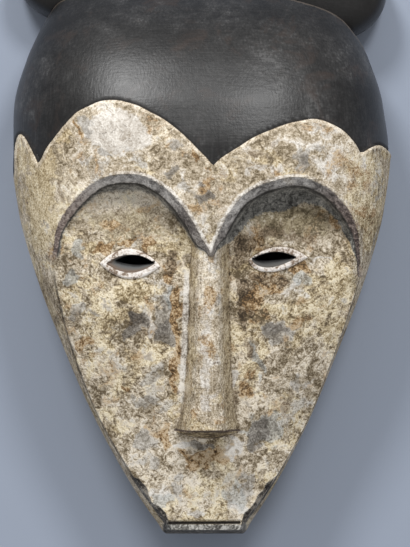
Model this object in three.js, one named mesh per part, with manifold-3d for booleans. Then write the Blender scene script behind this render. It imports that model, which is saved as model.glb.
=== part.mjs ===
// A carved wooden face mask, lying on the flat rim of its hollow back: +Z is forward out of the
// face, +Y runs from the chin to the crown, +X is the viewer's right. Millimetres.
import * as THREE from "three";
import { mergeVertices } from "three/addons/utils/BufferGeometryUtils.js";
import Module from "manifold-3d";

const wasm = await Module();
wasm.setup();

// Overall size
const chinEnd = -225.4; // lowest point of the face, where the chin is cut off flat
const crownEnd = 190; // the head runs on to here before the crown line trims it
const wall = 12; // thickness of the carved wood

// The head: half its width, its middle, the height of its front, the height of its widest
// level and how square its cross-section is, each along Y
const headHalfWidth = along([
  [chinEnd, 28.5], [-222.5, 31.5], [-218, 34], [-208, 41], [-186, 55], [-142, 78.5], [-97, 98], [-31, 123],
  [14, 135], [58, 140], [91, 137.5], [125, 127.4], [138, 121.7], [152, 114.5], [crownEnd, 88],
]);
const headMiddle = along([
  [chinEnd, 2.6], [-208, 2], [-142, 1], [-97, 0.3], [58, 0], [91, -1.8], [crownEnd, -3],
]);
const headFront = along([
  [chinEnd, 88], [-200, 98], [-150, 112], [-100, 123], [-60, 130], [-20, 137], [25, 144],
  [55, 143], [85, 137], [115, 125], [140, 110], [160, 92], [175, 74], [crownEnd, 54],
]);
const headBelly = along([[chinEnd, 32], [0, 40], [60, 42], [130, 50], [crownEnd, 50]]);
const headSquareness = along([
  [chinEnd, 3], [-100, 3], [-60, 2.9], [-20, 2.6], [20, 2.4], [crownEnd, 2.4],
]);
const rimTaper = 0.97; // width of the flat back rim beside the widest level
const flankHeight = 0.45; // share of the widest level's height at which the side has come in a little
const flankWidth = 0.99;

// The cap of hair is carved a little lower than the white face
const capStep = 1.6;
const capStepFrom = 0; // the cap's lower surface starts at this Y, below the lowest point of its edge

// The face: a gently rounded plane, lower at the viewer's right, dished under the brows
const faceMiddleHeight = along([
  [-240, 78], [-217, 81], [-205, 84], [-170, 92], [-130, 100], [-90, 108], [-40, 116], [0, 120], [60, 122],
]);
const faceFall = along([
  [-240, 0], [-217, 0], [-178, 10], [-130, 22], [-94, 24], [-47, 22], [-20, 20], [60, 20],
]);
const faceLean = 0.06; // slope down towards the viewer's right
const jawHalfWidth = along([
  [-240, 26], [-217, 27], [-178, 51], [-138, 74], [-94, 94], [-40, 109], [60, 112],
]);
const socketDepth = 4;
const socketRadius = 34;
const socketHeight = -2; // Y of the dished areas
const socketOffset = 55; // X of the dished areas, either side
const faceTop = 60; // the face plane runs on under the brows up to here
const faceColumns = 26;
const faceRows = 31;

// The brows: ridge lines in X and Y, and the section of the carved band below them. Where the
// brow runs out, the room between the forehead and the face shrinks and the section with it.
const brows = [
  [
    [-107.7, -20], [-104.5, -2], [-97.5, 11.6], [-78.1, 30.9],
    [-54.7, 37.7], [-33.3, 33.4], [-12.7, 14.7], [7.2, -18.5],
  ],
  [
    [7.2, -18.5], [12.6, -3], [30, 22.6], [58.5, 34.8],
    [82.3, 32.8], [101.3, 19.1], [113.2, -1], [116, -34],
  ],
];
// closes the face's outline below the brows
const jaws = [[160, -36], [160, -250], [-160, -250], [-160, -22]];
const browRidge = 0.8; // the ridge stands this far proud of the forehead
const browFullRoom = 4; // room at which the ridge has its full height
const browBandWidth = 5.8;
const browBandDrop = 5.2;
const browBandShare = 0.4; // the band drops by no more than this share of the room
const browWallWidth = 3.6;
const browFootRise = 2.5; // the wall's foot lies this far above the face
const browFootShare = 0.2;
const browHollowWidth = 10;
const browHollowSink = 0.6;
const browRoot = { reach: 4, sink: 2, depth: 10 }; // how the brow is let into the wood around it
const browSteps = 40;

// The nose: middle, half-widths of base and ridge, and height above the face, each along Y
const noseTop = -12;
const noseEnd = -146;
const noseFoot = -153; // where its sloping underside meets the face
const noseMiddle = along([[noseFoot, 4.6], [-146, 4.6], [-123, 5.4], [-80, 5.6], [-24, 6.2], [noseTop, 6.6]]);
const noseBase = along([
  [noseFoot, 22.6], [-146, 22.4], [-137, 20.4], [-123, 17.9], [-109, 16.5],
  [-80, 15.3], [-52, 14.6], [-24, 14], [noseTop, 13.5],
]);
const noseRidge = along([
  [noseFoot, 12], [-146, 12], [-125, 9.4], [-100, 8], [-72, 7.5], [-40, 7.4], [noseTop, 7],
]);
const noseHeight = along([[noseFoot, 29], [-146, 28], [-100, 22], [-60, 17.5], [noseTop, 15]]);
const noseLens = 0.7; // the underside narrows by this share towards its two ends
const noseSink = 0.97; // its foot is let into the face by this share of the face's height
const noseSteps = 16;

// The eyes: tips of each almond, its rise and its fall, for the raised lid and the opening in it
const eyes = [
  {
    lid: { from: [-72.1, -26.1], to: [-29.9, -28], rise: 11.3, fall: 10.3 },
    opening: { from: [-68.5, -26], to: [-32.8, -26], rise: 6.4, fall: 6.8 },
    slot: { from: [-61, -24], to: [-33.6, -25.4], rise: 4.8, fall: 2.9 },
  },
  {
    lid: { from: [34.3, -23.4], to: [77, -21.6], rise: 8, fall: 9.6 },
    opening: { from: [36.2, -22.8], to: [69.5, -21.6], rise: 4.8, fall: 6.8 },
    slot: { from: [38.4, -22.6], to: [68, -21.6], rise: 4.2, fall: 1.9 },
  },
];
const lidHeight = 1.6;
const lidTop = 0.88; // size of the lid's top beside its foot
const lidDepth = 5;
const slotDepth = 5; // the lower lid slopes down to the slot over this depth
const slotFoot = 20; // the slot is cut through down to this height, inside the hollow
const openingFlare = 1; // the opening widens by this much above the lid
const openingRise = 6;
const almondSteps = 9;

// The mouth: a groove across the chin and the lip strip below it
const mouthLine = -215;
const mouthHalfWidth = 26.4;
const mouthMiddle = 2.7;
const mouthDepth = 2.4;
const mouthGap = 1.8;
const lipSink = 1.2;
const chinCut = 5; // the dark underside slopes away over this length
const chinCutDepth = 34;
const chinEdge = 2; // height of the lip strip's front edge
const mouthCutRise = 12; // the cutting solids for the mouth reach this far above the face
const lipCutRise = 30;
const lipCutReach = 60;

// The scalloped edge of the cap, from the viewer's left to the right
const capEdge = [
  [[-150, 52], [-136, 55], [-131, 67], [-124.6, 61.2], [-117.5, 45.3]],
  [
    [-117.5, 45.3], [-108.5, 60.5], [-88, 82.5], [-64.2, 90.8],
    [-40.5, 84.4], [-17.3, 69.6], [-1, 54], [8.6, 43.2],
  ],
  [
    [8.6, 43.2], [18, 51], [36.4, 62.5], [57.2, 71.9],
    [80.6, 77.3], [99.6, 71.2], [110, 61.5], [115.4, 53.2],
  ],
  [[115.4, 53.2], [121, 56.6], [128.5, 59.8], [134.5, 58.3], [150, 48]],
];

// The crown line, where the cap ends in a crisp edge in front of the two lobes of hair
const crownLine = [
  [-150, 60], [-140, 108], [-126, 138], [-114.3, 154.5], [-102.5, 167.1], [-67.4, 179], [-20, 181.5],
  [25, 175.5], [67.4, 166.7], [98.2, 156.1], [114.3, 140], [128, 118], [140, 90], [150, 60],
];
const lobes = [
  { at: [-92.2, 189.4], radius: [46.1, 36] },
  { at: [92.2, 175.3], radius: [46.1, 36] },
];
const lobeProfile = [
  [0, 0], [0.93, 0], [0.99, 0.2], [1, 0.45], [0.97, 0.68], [0.88, 0.86], [0.7, 0.96], [0.4, 0.995], [0, 1],
];
const lobeThickness = 46;
const lobeSides = 40;

// The hair that joins the lobes behind the crown dips between them
const hairTop = along([[-95, 219], [-60, 209], [-10, 191], [20, 188], [60, 196], [95, 206]]);
const hairThickness = 40;
const hairFrom = 150;
const hairReach = 95;
const hairRounding = 9;
const hairCorner = 0.3; // share of the rounding left at the corner's middle
const hairColumns = 16;

// The hollow at the back, for the wearer's face
const hollowSquareness = 3.8;
const hollowFrom = chinEnd + 2.2 * wall;
const hollowTo = 166;
const foreheadWall = 1.15 * wall;
const browWall = 1.35 * wall;
const hollowRounding = 40; // the hollow's two ends are rounded over this length
const hollowTopShare = 0.35; // its depth at the crown's end, and at the chin's, beside its full depth
const hollowChinShare = 0.6;
const hollowEndWidth = 0.3; // its width shrinks less than its depth, by this much
const hollowRows = 28;
const hollowPoints = 18;
const foreheadRise = [5, 55]; // between these Y the hollow climbs from the face into the forehead

// Cutting solids run past the mask on every side
const past = { side: 160, bottom: -250, top: 240, low: -60, high: 230 };

const rowSpacing = 9;
const archPoints = 30;
const shortestEdge = 0.06;

// A smooth curve through [key, value] pairs that never overshoots them
function along(pairs) {
  const slope = pairs.slice(1).map(([key, value], i) => (value - pairs[i][1]) / (key - pairs[i][0]));
  const tangent = pairs.map((_, i) => {
    const before = slope[i - 1] ?? slope[i];
    const after = slope[i] ?? slope[i - 1];
    return before * after <= 0 ? 0 : (2 * before * after) / (before + after);
  });
  return (key) => {
    const last = pairs.length - 2;
    const i = Math.min(last, Math.max(0, pairs.findIndex(([next]) => next > key) - 1));
    const at = key >= pairs[last + 1][0] ? last : i;
    const span = pairs[at + 1][0] - pairs[at][0];
    const t = THREE.MathUtils.clamp((key - pairs[at][0]) / span, 0, 1);
    const rise = tangent[at] * span;
    const fall = tangent[at + 1] * span;
    const step = t * t * (3 - 2 * t);
    const ease = t * (1 - t) * (rise * (1 - t) - fall * t);
    return pairs[at][1] + (pairs[at + 1][1] - pairs[at][1]) * step + ease;
  };
}

const evenly = (from, to, steps) =>
  Array.from({ length: steps + 1 }, (_, i) => from + ((to - from) * i) / steps);
const signedPower = (value, power) => Math.sign(value) * Math.abs(value) ** power;
const vector = (x, y, z) => new THREE.Vector3(x, y, z);
const flat = (x, y) => new THREE.Vector2(x, y);

function solidOf(geometry) {
  const plain = geometry.clone();
  plain.deleteAttribute("normal");
  plain.deleteAttribute("uv");
  const merged = mergeVertices(plain, 1e-4);
  const triVerts = new Uint32Array(merged.index.array);
  const vertProperties = merged.attributes.position.array;
  const solid = new wasm.Manifold(new wasm.Mesh({ numProp: 3, vertProperties, triVerts }));
  if (solid.volume() > 0) return solid;
  const turned = triVerts.slice().reverse();
  return new wasm.Manifold(new wasm.Mesh({ numProp: 3, vertProperties, triVerts: turned }));
}

// A closed solid through a row of rings that have equally many points
function loft(rings) {
  const count = rings[0].length;
  const points = rings.flat();
  const faces = [];
  for (let ring = 0; ring < rings.length - 1; ring++)
    for (let i = 0; i < count; i++) {
      const next = (i + 1) % count;
      const low = ring * count;
      const high = low + count;
      faces.push(low + i, low + next, high + next, low + i, high + next, high + i);
    }
  for (const [ring, outward] of [[0, false], [rings.length - 1, true]]) {
    const middle = rings[ring].reduce((sum, p) => sum.add(p), vector(0, 0, 0)).divideScalar(count);
    const centre = points.push(middle) - 1;
    for (let i = 0; i < count; i++) {
      const a = ring * count + i;
      const b = ring * count + ((i + 1) % count);
      faces.push(centre, ...(outward ? [a, b] : [b, a]));
    }
  }
  const geometry = new THREE.BufferGeometry().setFromPoints(points);
  geometry.setIndex(faces);
  return solidOf(geometry);
}

function smoothLine(points, steps) {
  return new THREE.SplineCurve(points.map(([x, y]) => flat(x, y))).getPoints(steps);
}

// An outline in X and Y, given depth along Z
function prism(outline, from, to) {
  const shape = new THREE.Shape(outline);
  const geometry = new THREE.ExtrudeGeometry(shape, { depth: to - from, bevelEnabled: false });
  return solidOf(geometry.translate(0, 0, from));
}

// Height of the head's front at a place, before the face is cut into it
function headHeight(x, y, inset = 0) {
  const across = Math.min(1, Math.abs(x - headMiddle(y)) / (headHalfWidth(y) - inset));
  const power = headSquareness(y);
  return headBelly(y) + (headFront(y) - inset - headBelly(y)) * (1 - across ** power) ** (1 / power);
}

function headRing(y, inset = 0, foot = 0) {
  const halfWidth = headHalfWidth(y) - inset;
  const power = 2 / headSquareness(y);
  const arch = evenly(0, Math.PI, archPoints).map((turn) =>
    vector(
      headMiddle(y) + halfWidth * signedPower(Math.cos(turn), power),
      y,
      headBelly(y) + (headFront(y) - inset - headBelly(y)) * Math.abs(Math.sin(turn)) ** power,
    ),
  );
  const side = (sign, z, width) => vector(headMiddle(y) + sign * halfWidth * width, y, z);
  const flank = headBelly(y) * flankHeight;
  const right = [side(1, foot, rimTaper), side(1, flank, flankWidth)];
  const left = [side(-1, flank, flankWidth), side(-1, foot, rimTaper)];
  return [...right, ...arch, ...left];
}

// The head with its cap lowered and its crown cut. The lowered surface runs on past the crown and
// below the rim, so that no two walls coincide.
function makeHead() {
  const rows = evenly(chinEnd, crownEnd, Math.round((crownEnd - chinEnd) / rowSpacing));
  const head = loft(rows.map((y) => headRing(y)));
  const capRows = [...rows.filter((y) => y > capStepFrom), past.top];
  const lower = loft(capRows.map((y) => headRing(y, capStep, past.low)));
  const edge = capEdge.flatMap((line) => smoothLine(line, 3 * line.length).slice(1));
  const capOutline = [...edge, flat(past.side, past.top), flat(-past.side, past.top)];
  const cap = prism(capOutline, past.low / 2, past.high);
  const belowCrown = smoothLine(crownLine, 60);
  const crownOutline = [
    flat(belowCrown[0].x, past.bottom), ...belowCrown, flat(belowCrown.at(-1).x, past.bottom),
  ];
  const inCrown = prism(crownOutline, past.low / 2, past.high);
  return head.subtract(cap.subtract(lower)).intersect(inCrown);
}

// Height of the carved face
function faceHeight(x, y) {
  const fromMiddle = x - headMiddle(y);
  const fall = faceFall(y) * Math.abs(fromMiddle / jawHalfWidth(y)) ** 2.2;
  const socket = Math.hypot((Math.abs(x) - socketOffset) / socketRadius, (y - socketHeight) / socketRadius);
  return faceMiddleHeight(y) - faceLean * fromMiddle - fall - socketDepth * Math.exp(-socket * socket);
}

// A solid between a height surface and a level, from the lowest Y to the face's top
function slabOver(height, level, columns, rows) {
  const across = evenly(-past.side, past.side, columns);
  return loft(
    evenly(past.bottom - 1, faceTop, rows).map((y) => [
      ...across.map((x) => vector(x, y, height(x, y))),
      vector(past.side, y, level),
      vector(-past.side, y, level),
    ]),
  );
}

function makeFaceCut() {
  const heart = brows.flatMap((line, i) => smoothLine(line, browSteps).slice(i));
  const outline = prism([...heart, ...jaws.map(([x, y]) => flat(x, y))], past.low, past.high);
  return slabOver(faceHeight, past.high + 5, faceColumns, faceRows).intersect(outline);
}

// The carved band, wall and hollow under a brow, swept along its ridge line
function makeBrow(line) {
  const ridge = smoothLine(line, browSteps);
  const rings = ridge.map((point, i) => {
    const before = ridge[Math.max(0, i - 1)];
    const after = ridge[Math.min(ridge.length - 1, i + 1)];
    const run = after.clone().sub(before).normalize();
    const inward = flat(run.y, -run.x);
    const place = (offset) => point.clone().addScaledVector(inward, offset);
    const top = headHeight(point.x, point.y);
    const foot = place(browBandWidth + browWallWidth);
    const end = place(browBandWidth + browWallWidth + browHollowWidth);
    const room = Math.max(0, top - faceHeight(foot.x, foot.y));
    const drop = Math.min(browBandDrop, room * browBandShare);
    const outer = place(-browRoot.reach);
    const band = place(browBandWidth);
    const under = Math.min(top, faceHeight(end.x, end.y)) - browRoot.depth;
    return [
      vector(outer.x, outer.y, headHeight(outer.x, outer.y) - browRoot.sink),
      vector(point.x, point.y, top + browRidge * Math.min(1, room / browFullRoom)),
      vector(band.x, band.y, top - drop),
      vector(foot.x, foot.y, faceHeight(foot.x, foot.y) + Math.min(browFootRise, room * browFootShare)),
      vector(end.x, end.y, faceHeight(end.x, end.y) - browHollowSink),
      vector(end.x, end.y, under),
      vector(outer.x, outer.y, under),
    ];
  });
  return loft(rings);
}

// The nose: a tall ridge with hollowed sides, flaring to a sharp-edged end. Half of its section is
// given as shares of the base's half-width and of the height.
function makeNose() {
  const section = (y, topY, reach) => {
    const middle = noseMiddle(y);
    const base = noseBase(y);
    const ridge = noseRidge(y);
    const height = noseHeight(y);
    const crest = ridge / base;
    const half = [[1.15, -0.3], [1, 0], [0.62 + 0.38 * crest, 0.42], [crest, 0.86], [0.55 * crest, 0.97]];
    const whole = [...half, [0, 1], ...half.map(([u, v]) => [-u, v]).reverse()];
    return whole.map(([u, v]) => {
      const x = middle + base * u;
      const below = reach * (1 - Math.max(0, v)) * (1 - noseLens * Math.min(1, u * u));
      return vector(x, topY + below, faceHeight(x, y) * (v > 0 ? 1 : noseSink) + height * v);
    });
  };
  const rows = evenly(noseTop, noseEnd, noseSteps).map((y) => section(y, y, 0));
  rows[noseSteps] = section(noseEnd, noseEnd, noseFoot - noseEnd);
  return loft(rows);
}

// An almond outline: a chord between its tips that bows up by the rise and down by the fall
function almond({ from, to, rise, fall }) {
  const point = (share, height) => {
    const bow = 4 * share * (1 - share);
    return flat(from[0] + (to[0] - from[0]) * share, from[1] + (to[1] - from[1]) * share + height * bow);
  };
  const over = evenly(0, 1, almondSteps).map((share) => point(share, rise));
  const under = evenly(1, 0, almondSteps).map((share) => point(share, -fall)).slice(1, -1);
  return [...over, ...under];
}

function makeLid({ lid }) {
  const middle = flat((lid.from[0] + lid.to[0]) / 2, (lid.from[1] + lid.to[1]) / 2);
  const ring = (rise, scale) =>
    almond(lid).map((p) => {
      const at = p.sub(middle).multiplyScalar(scale).add(middle);
      return vector(at.x, at.y, faceHeight(at.x, at.y) + rise);
    });
  return loft([ring(-lidDepth, 1), ring(0, 1), ring(lidHeight, lidTop)]);
}

function makeEyeCut({ opening, slot }) {
  const middleX = (opening.from[0] + opening.to[0]) / 2;
  const level = faceHeight(middleX, opening.from[1]) + lidHeight;
  const ring = (outline, z) => almond(outline).map((p) => vector(p.x, p.y, z));
  const wide = { ...opening, rise: opening.rise + openingFlare, fall: opening.fall + openingFlare };
  return loft([
    ring(wide, level + openingRise),
    ring(opening, level),
    ring(slot, level - slotDepth),
    ring(slot, slotFoot),
  ]);
}

function makeMouthCuts() {
  const across = evenly(-mouthHalfWidth, mouthHalfWidth, 8);
  const groove = loft(
    across.map((offset) => {
      const x = mouthMiddle + offset;
      const z = faceHeight(x, mouthLine);
      return [
        vector(x, mouthLine - mouthGap / 2, z - mouthDepth),
        vector(x, mouthLine + mouthGap / 2, z - mouthDepth),
        vector(x, mouthLine + mouthGap, z + mouthCutRise),
        vector(x, mouthLine - mouthGap, z + mouthCutRise),
      ];
    }),
  );
  const lipLevel = faceHeight(0, mouthLine) - lipSink;
  const lip = loft(
    [-lipCutReach, lipCutReach].map((x) => [
      vector(x, mouthLine, lipLevel),
      vector(x, mouthLine, lipLevel + lipCutRise),
      vector(x, past.bottom, lipLevel + lipCutRise),
      vector(x, past.bottom, lipLevel - chinCutDepth * 2),
      vector(x, chinEnd, lipLevel - chinCutDepth),
      vector(x, chinEnd + chinCut, lipLevel - chinEdge),
    ]),
  );
  return groove.add(lip);
}

function makeLobe({ at, radius }) {
  const turned = new THREE.LatheGeometry(lobeProfile.map(([r, z]) => flat(r, z)), lobeSides);
  turned.rotateX(Math.PI / 2);
  turned.scale(radius[0], radius[1], lobeThickness);
  return solidOf(turned.translate(at[0], at[1], 0));
}

function makeHairBand() {
  const corner = hairRounding * hairCorner;
  return loft(
    evenly(-hairReach, hairReach, hairColumns).map((x) => [
      vector(x, hairFrom, 0),
      vector(x, hairTop(x) - corner, 0),
      vector(x, hairTop(x), hairRounding),
      vector(x, hairTop(x), hairThickness - hairRounding),
      vector(x, hairTop(x) - corner, hairThickness - corner),
      vector(x, hairTop(x) - hairRounding, hairThickness),
      vector(x, hairFrom, hairThickness),
    ]),
  );
}

function hollowRing(y) {
  const shrink = Math.min(
    1, (hollowTo - y) / hollowRounding + hollowTopShare, (y - hollowFrom) / hollowRounding + hollowChinShare,
  );
  const halfWidth = (headHalfWidth(y) - wall) * Math.min(1, shrink + hollowEndWidth);
  const front = hollowCeiling(y) * shrink;
  const power = 2 / hollowSquareness;
  const middle = headMiddle(y);
  const arch = evenly(0, Math.PI, hollowPoints).map((turn) => {
    const height = front * Math.abs(Math.sin(turn)) ** power;
    return vector(middle + halfWidth * signedPower(Math.cos(turn), power), y, height);
  });
  return [vector(middle + halfWidth, y, past.low), ...arch, vector(middle - halfWidth, y, past.low)];
}

// The hollow stays a wall's thickness behind the face, and rises into the forehead above it
function hollowCeiling(y) {
  const rise = THREE.MathUtils.smoothstep(y, ...foreheadRise);
  const behindForehead = headFront(y) - foreheadWall;
  const behindFace = faceMiddleHeight(Math.min(y, faceTop)) - browWall;
  return Math.min(behindForehead, THREE.MathUtils.lerp(behindFace, behindForehead, rise));
}

function behindFaceHeight(x, y) {
  const rise = THREE.MathUtils.smoothstep(y, ...foreheadRise);
  return THREE.MathUtils.lerp(faceHeight(x, Math.min(y, faceTop)) - wall, headHeight(x, y) - wall, rise);
}

function makeHollow() {
  const bowl = loft(evenly(hollowFrom, hollowTo, hollowRows).map(hollowRing));
  const behind = slabOver(behindFaceHeight, past.low * 2, faceColumns, faceRows);
  const upperOutline = [[-1, faceTop - 2], [1, faceTop - 2], [1, past.top], [-1, past.top]];
  const upper = prism(upperOutline.map(([side, y]) => flat(side * past.side, y)), past.low * 2, past.high);
  return bowl.intersect(behind.add(upper));
}

// Everything joined and cut, of which the one large body is kept: the cap's step leaves a thin
// sliver at the left silhouette
function makeMask() {
  let mask = makeHead().subtract(makeFaceCut());
  for (const brow of brows) mask = mask.add(makeBrow(brow));
  mask = mask.add(makeNose());
  for (const eye of eyes) mask = mask.add(makeLid(eye));
  for (const lobe of lobes) mask = mask.add(makeLobe(lobe));
  mask = mask.add(makeHairBand());
  mask = mask.subtract(makeMouthCuts());
  mask = mask.subtract(makeHollow());
  for (const eye of eyes) mask = mask.subtract(makeEyeCut(eye));
  return mask.decompose().sort((a, b) => b.volume() - a.volume())[0];
}

// Draws the two ends of every very short edge together, and drops the triangles that close up
function withoutShortEdges(positions, triangles) {
  const goesTo = Array.from({ length: positions.length / 3 }, (_, i) => i);
  const last = (i) => (goesTo[i] === i ? i : last(goesTo[i]));
  const at = (i) => new THREE.Vector3().fromArray(positions, 3 * i);
  for (let i = 0; i < triangles.length; i++) {
    const a = last(triangles[i]);
    const b = last(triangles[i % 3 === 2 ? i - 2 : i + 1]);
    if (a !== b && at(a).distanceTo(at(b)) < shortestEdge) goesTo[Math.max(a, b)] = Math.min(a, b);
  }
  const kept = [];
  for (let i = 0; i < triangles.length; i += 3) {
    const [a, b, c] = [last(triangles[i]), last(triangles[i + 1]), last(triangles[i + 2])];
    if (a !== b && b !== c && c !== a) kept.push(a, b, c);
  }
  return kept;
}

function geometryOf(solid) {
  const { vertProperties, triVerts } = solid.getMesh();
  const geometry = new THREE.BufferGeometry();
  geometry.setAttribute("position", new THREE.BufferAttribute(vertProperties, 3));
  geometry.setIndex(withoutShortEdges(vertProperties, triVerts));
  geometry.computeVertexNormals();
  return geometry;
}

const paintedWood = new THREE.MeshStandardMaterial({ color: 0xc9bda6, roughness: 0.85, metalness: 0 });
const mask = new THREE.Mesh(geometryOf(makeMask()), paintedWood);
mask.name = "carved_mask";

const part = new THREE.Group();
part.add(mask);

export default part;
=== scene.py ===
import math

import bpy
import numpy as np
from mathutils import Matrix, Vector, noise
from mathutils.kdtree import KDTree


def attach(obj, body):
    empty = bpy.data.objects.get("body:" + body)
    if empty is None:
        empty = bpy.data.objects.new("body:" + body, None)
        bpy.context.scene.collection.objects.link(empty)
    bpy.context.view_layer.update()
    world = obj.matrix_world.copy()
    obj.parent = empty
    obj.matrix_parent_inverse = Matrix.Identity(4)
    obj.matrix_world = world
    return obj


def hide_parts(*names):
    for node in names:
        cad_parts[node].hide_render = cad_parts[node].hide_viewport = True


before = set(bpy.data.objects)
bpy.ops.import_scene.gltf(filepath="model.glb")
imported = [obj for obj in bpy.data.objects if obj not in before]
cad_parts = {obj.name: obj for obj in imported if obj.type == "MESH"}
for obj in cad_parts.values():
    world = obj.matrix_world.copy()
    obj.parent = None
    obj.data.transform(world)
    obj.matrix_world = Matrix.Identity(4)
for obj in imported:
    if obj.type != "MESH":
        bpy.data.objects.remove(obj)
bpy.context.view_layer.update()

mm = 0.001


# Smooth curves

def along(pairs):
    # a smooth curve through (key, value) pairs that never overshoots them
    keys = np.array([key for key, _ in pairs], float)
    values = np.array([value for _, value in pairs], float)
    slopes = np.diff(values) / np.diff(keys)
    before = np.concatenate([slopes[:1], slopes])
    after = np.concatenate([slopes, slopes[-1:]])
    same = before * after > 0
    total = np.where(same, before + after, 1)
    tangents = np.where(same, 2 * before * after / total, 0)

    def at(key):
        key = np.asarray(key, float)
        i = np.clip(np.searchsorted(keys, key, side="right") - 1, 0, len(keys) - 2)
        span = keys[i + 1] - keys[i]
        t = np.clip((key - keys[i]) / span, 0, 1)
        step = t * t * (3 - 2 * t)
        ease = t * (1 - t) * (tangents[i] * span * (1 - t) - tangents[i + 1] * span * t)
        return values[i] + (values[i + 1] - values[i]) * step + ease

    return at


def smoothLine(points, steps):
    # a spline through the points, evenly stepped between them
    p = np.array(points, float)
    p = np.vstack([p[:1], p, p[-1:]])
    where = np.linspace(0, len(points) - 1, steps + 1)
    i = np.minimum(where.astype(int), len(points) - 2)
    t = (where - i)[:, None]
    a, b, c, d = p[i], p[i + 1], p[i + 2], p[i + 3]
    start, end = (c - a) / 2, (d - b) / 2
    cubic, square = 2 * b - 2 * c + start + end, 3 * c - 3 * b - 2 * start - end
    return cubic * t ** 3 + square * t ** 2 + start * t + b


def smooth(value, low, high):
    t = np.clip((value - low) / (high - low), 0, 1)
    return t * t * (3 - 2 * t)


def roughNoise(x, y, z, size, seed):
    # soft random heights from -1 to 1, in patches of the given size
    offset = Vector((seed * 17.3, seed * 5.1, seed * 9.7))
    return np.array([noise.noise(Vector(p) / size + offset) for p in zip(x, y, z)])


# The mask's form, in millimetres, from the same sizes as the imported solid

head = {
    "chinEnd": -225.4,
    "crownEnd": 190,
    "halfWidth": along([(-225.4, 28.5), (-222.5, 31.5), (-218, 34), (-208, 41), (-186, 55), (-142, 78.5),
                        (-97, 98), (-31, 123), (14, 135), (58, 140), (91, 137.5), (125, 127.4),
                        (138, 121.7), (152, 114.5), (190, 88)]),
    "middle": along([(-225.4, 2.6), (-208, 2), (-142, 1), (-97, 0.3), (58, 0), (91, -1.8), (190, -3)]),
    "front": along([(-225.4, 88), (-200, 98), (-150, 112), (-100, 123), (-60, 130), (-20, 137), (25, 144),
                    (55, 143), (85, 137), (115, 125), (140, 110), (160, 92), (175, 74), (190, 54)]),
    "belly": along([(-225.4, 32), (0, 40), (60, 42), (130, 50), (190, 50)]),
    "squareness": along([(-225.4, 3), (-100, 3), (-60, 2.9), (-20, 2.6), (20, 2.4), (190, 2.4)]),
    "rimTaper": 0.97,
    "wall": 12,
    "frontColumns": 176,
    "sideColumns": 25,
}

face = {
    "middle": along([(-240, 78), (-217, 81), (-205, 84), (-170, 92), (-130, 100), (-90, 108), (-40, 116),
                      (0, 120), (60, 122)]),
    "fall": along([(-240, 0), (-217, 0), (-178, 10), (-130, 22), (-94, 24), (-47, 22), (-20, 20),
                   (60, 20)]),
    "jaw": along([(-240, 26), (-217, 27), (-178, 51), (-138, 74), (-94, 94), (-40, 109), (60, 112)]),
    "lean": 0.06,
    "socketDepth": 4,
    "socketRadius": 34,
    "socketY": -2,
    "socketX": 55,
}

brow = {
    "left": [(-107.7, -20), (-104.5, -2), (-97.5, 11.6), (-78.1, 30.9), (-54.7, 37.7), (-33.3, 33.4),
              (-12.7, 14.7), (7.2, -18.5)],
    "right": [(7.2, -18.5), (12.6, -3), (30, 22.6), (58.5, 34.8), (82.3, 32.8), (101.3, 19.1), (113.2, -1),
               (116, -34)],
    "ridge": 0.8,
    "ridgeWidth": 1.6,
    "band": 5.8,
    "drop": 5.2,
    "wall": 3.6,
    "foot": 2.5,
    "hollow": 10,
    # the steps shrink where the forehead stands little above the face
    "mostOfRoom": {"drop": 0.4, "foot": 0.2, "ridge": 0.25},
}

nose = {
    "top": -12,
    "end": -146,
    "foot": -153,
    "middle": along([(-153, 4.6), (-146, 4.6), (-123, 5.4), (-80, 5.6), (-24, 6.2), (-12, 6.6)]),
    "base": along([(-153, 22.6), (-146, 22.4), (-137, 20.4), (-123, 17.9), (-109, 16.5), (-80, 15.3),
                   (-52, 14.6), (-24, 14), (-12, 13.5)]),
    "ridge": along([(-153, 12), (-146, 12), (-125, 9.4), (-100, 8), (-72, 7.5), (-40, 7.4), (-12, 7)]),
    "height": along([(-153, 29), (-146, 28), (-100, 22), (-60, 17.5), (-12, 15)]),
}

eyes = [
    {
        "lid": {"start": (-73.4, -26.1), "end": (-28.8, -28), "rise": 12.1, "fall": 10.4},
        "opening": {"start": (-68.5, -26), "end": (-32.8, -26), "rise": 6.4, "fall": 6.8},
        "slot": {"start": (-61, -24), "end": (-33.6, -25.4), "rise": 4.8, "fall": 2.2},
    },
    {
        "lid": {"start": (34.1, -23.4), "end": (77.6, -21.6), "rise": 8.8, "fall": 9.8, "fallSkew": 0.68},
        "opening": {"start": (36.2, -22.8), "end": (69.5, -21.6), "rise": 4.8, "fall": 6.8,
                    "fallSkew": 0.72},
        "slot": {"start": (38.4, -22.6), "end": (68, -21.6), "rise": 4.2, "fall": 1.7, "fallSkew": 0.6},
    },
]
lidHeight = 1.6
lidEdge = (-0.4, 1.3)
slotDepth = 5

mouth = {
    "y": -215,
    "middle": 2.7,
    "halfWidth": 26.4,
    "depth": 2.4,
    "gap": 1.8,
    "lipSink": 1.2,
    "lipFlat": 2,
    "chinCut": 5,
    "chinCutDepth": 34,
}

capStep = 1.6
# a bead on the white side of the cap's edge and a groove on the dark side
capRim = [{"height": 0.7, "at": -1.6, "width": 1.1}, {"height": -0.5, "at": 0.9, "width": 0.7}]
capEdge = [
    [(-150, 33), (-138.5, 37), (-136.6, 50), (-136, 61), (-132.3, 67.8), (-126.5, 63), (-117.5, 45.3)],
    [(-117.5, 45.3), (-108.5, 60.5), (-88, 82.5), (-64.2, 90.8), (-40.5, 84.4), (-17.3, 69.6), (-1, 54),
     (8.6, 43.2)],
    [(8.6, 43.2), (18, 51), (36.4, 62.5), (57.2, 71.9), (80.6, 77.3), (99.6, 71.2), (110, 61.5),
     (115.4, 53.2)],
    [(115.4, 53.2), (121, 56.6), (128.5, 59.8), (134.5, 58.3), (150, 48)],
]

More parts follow.
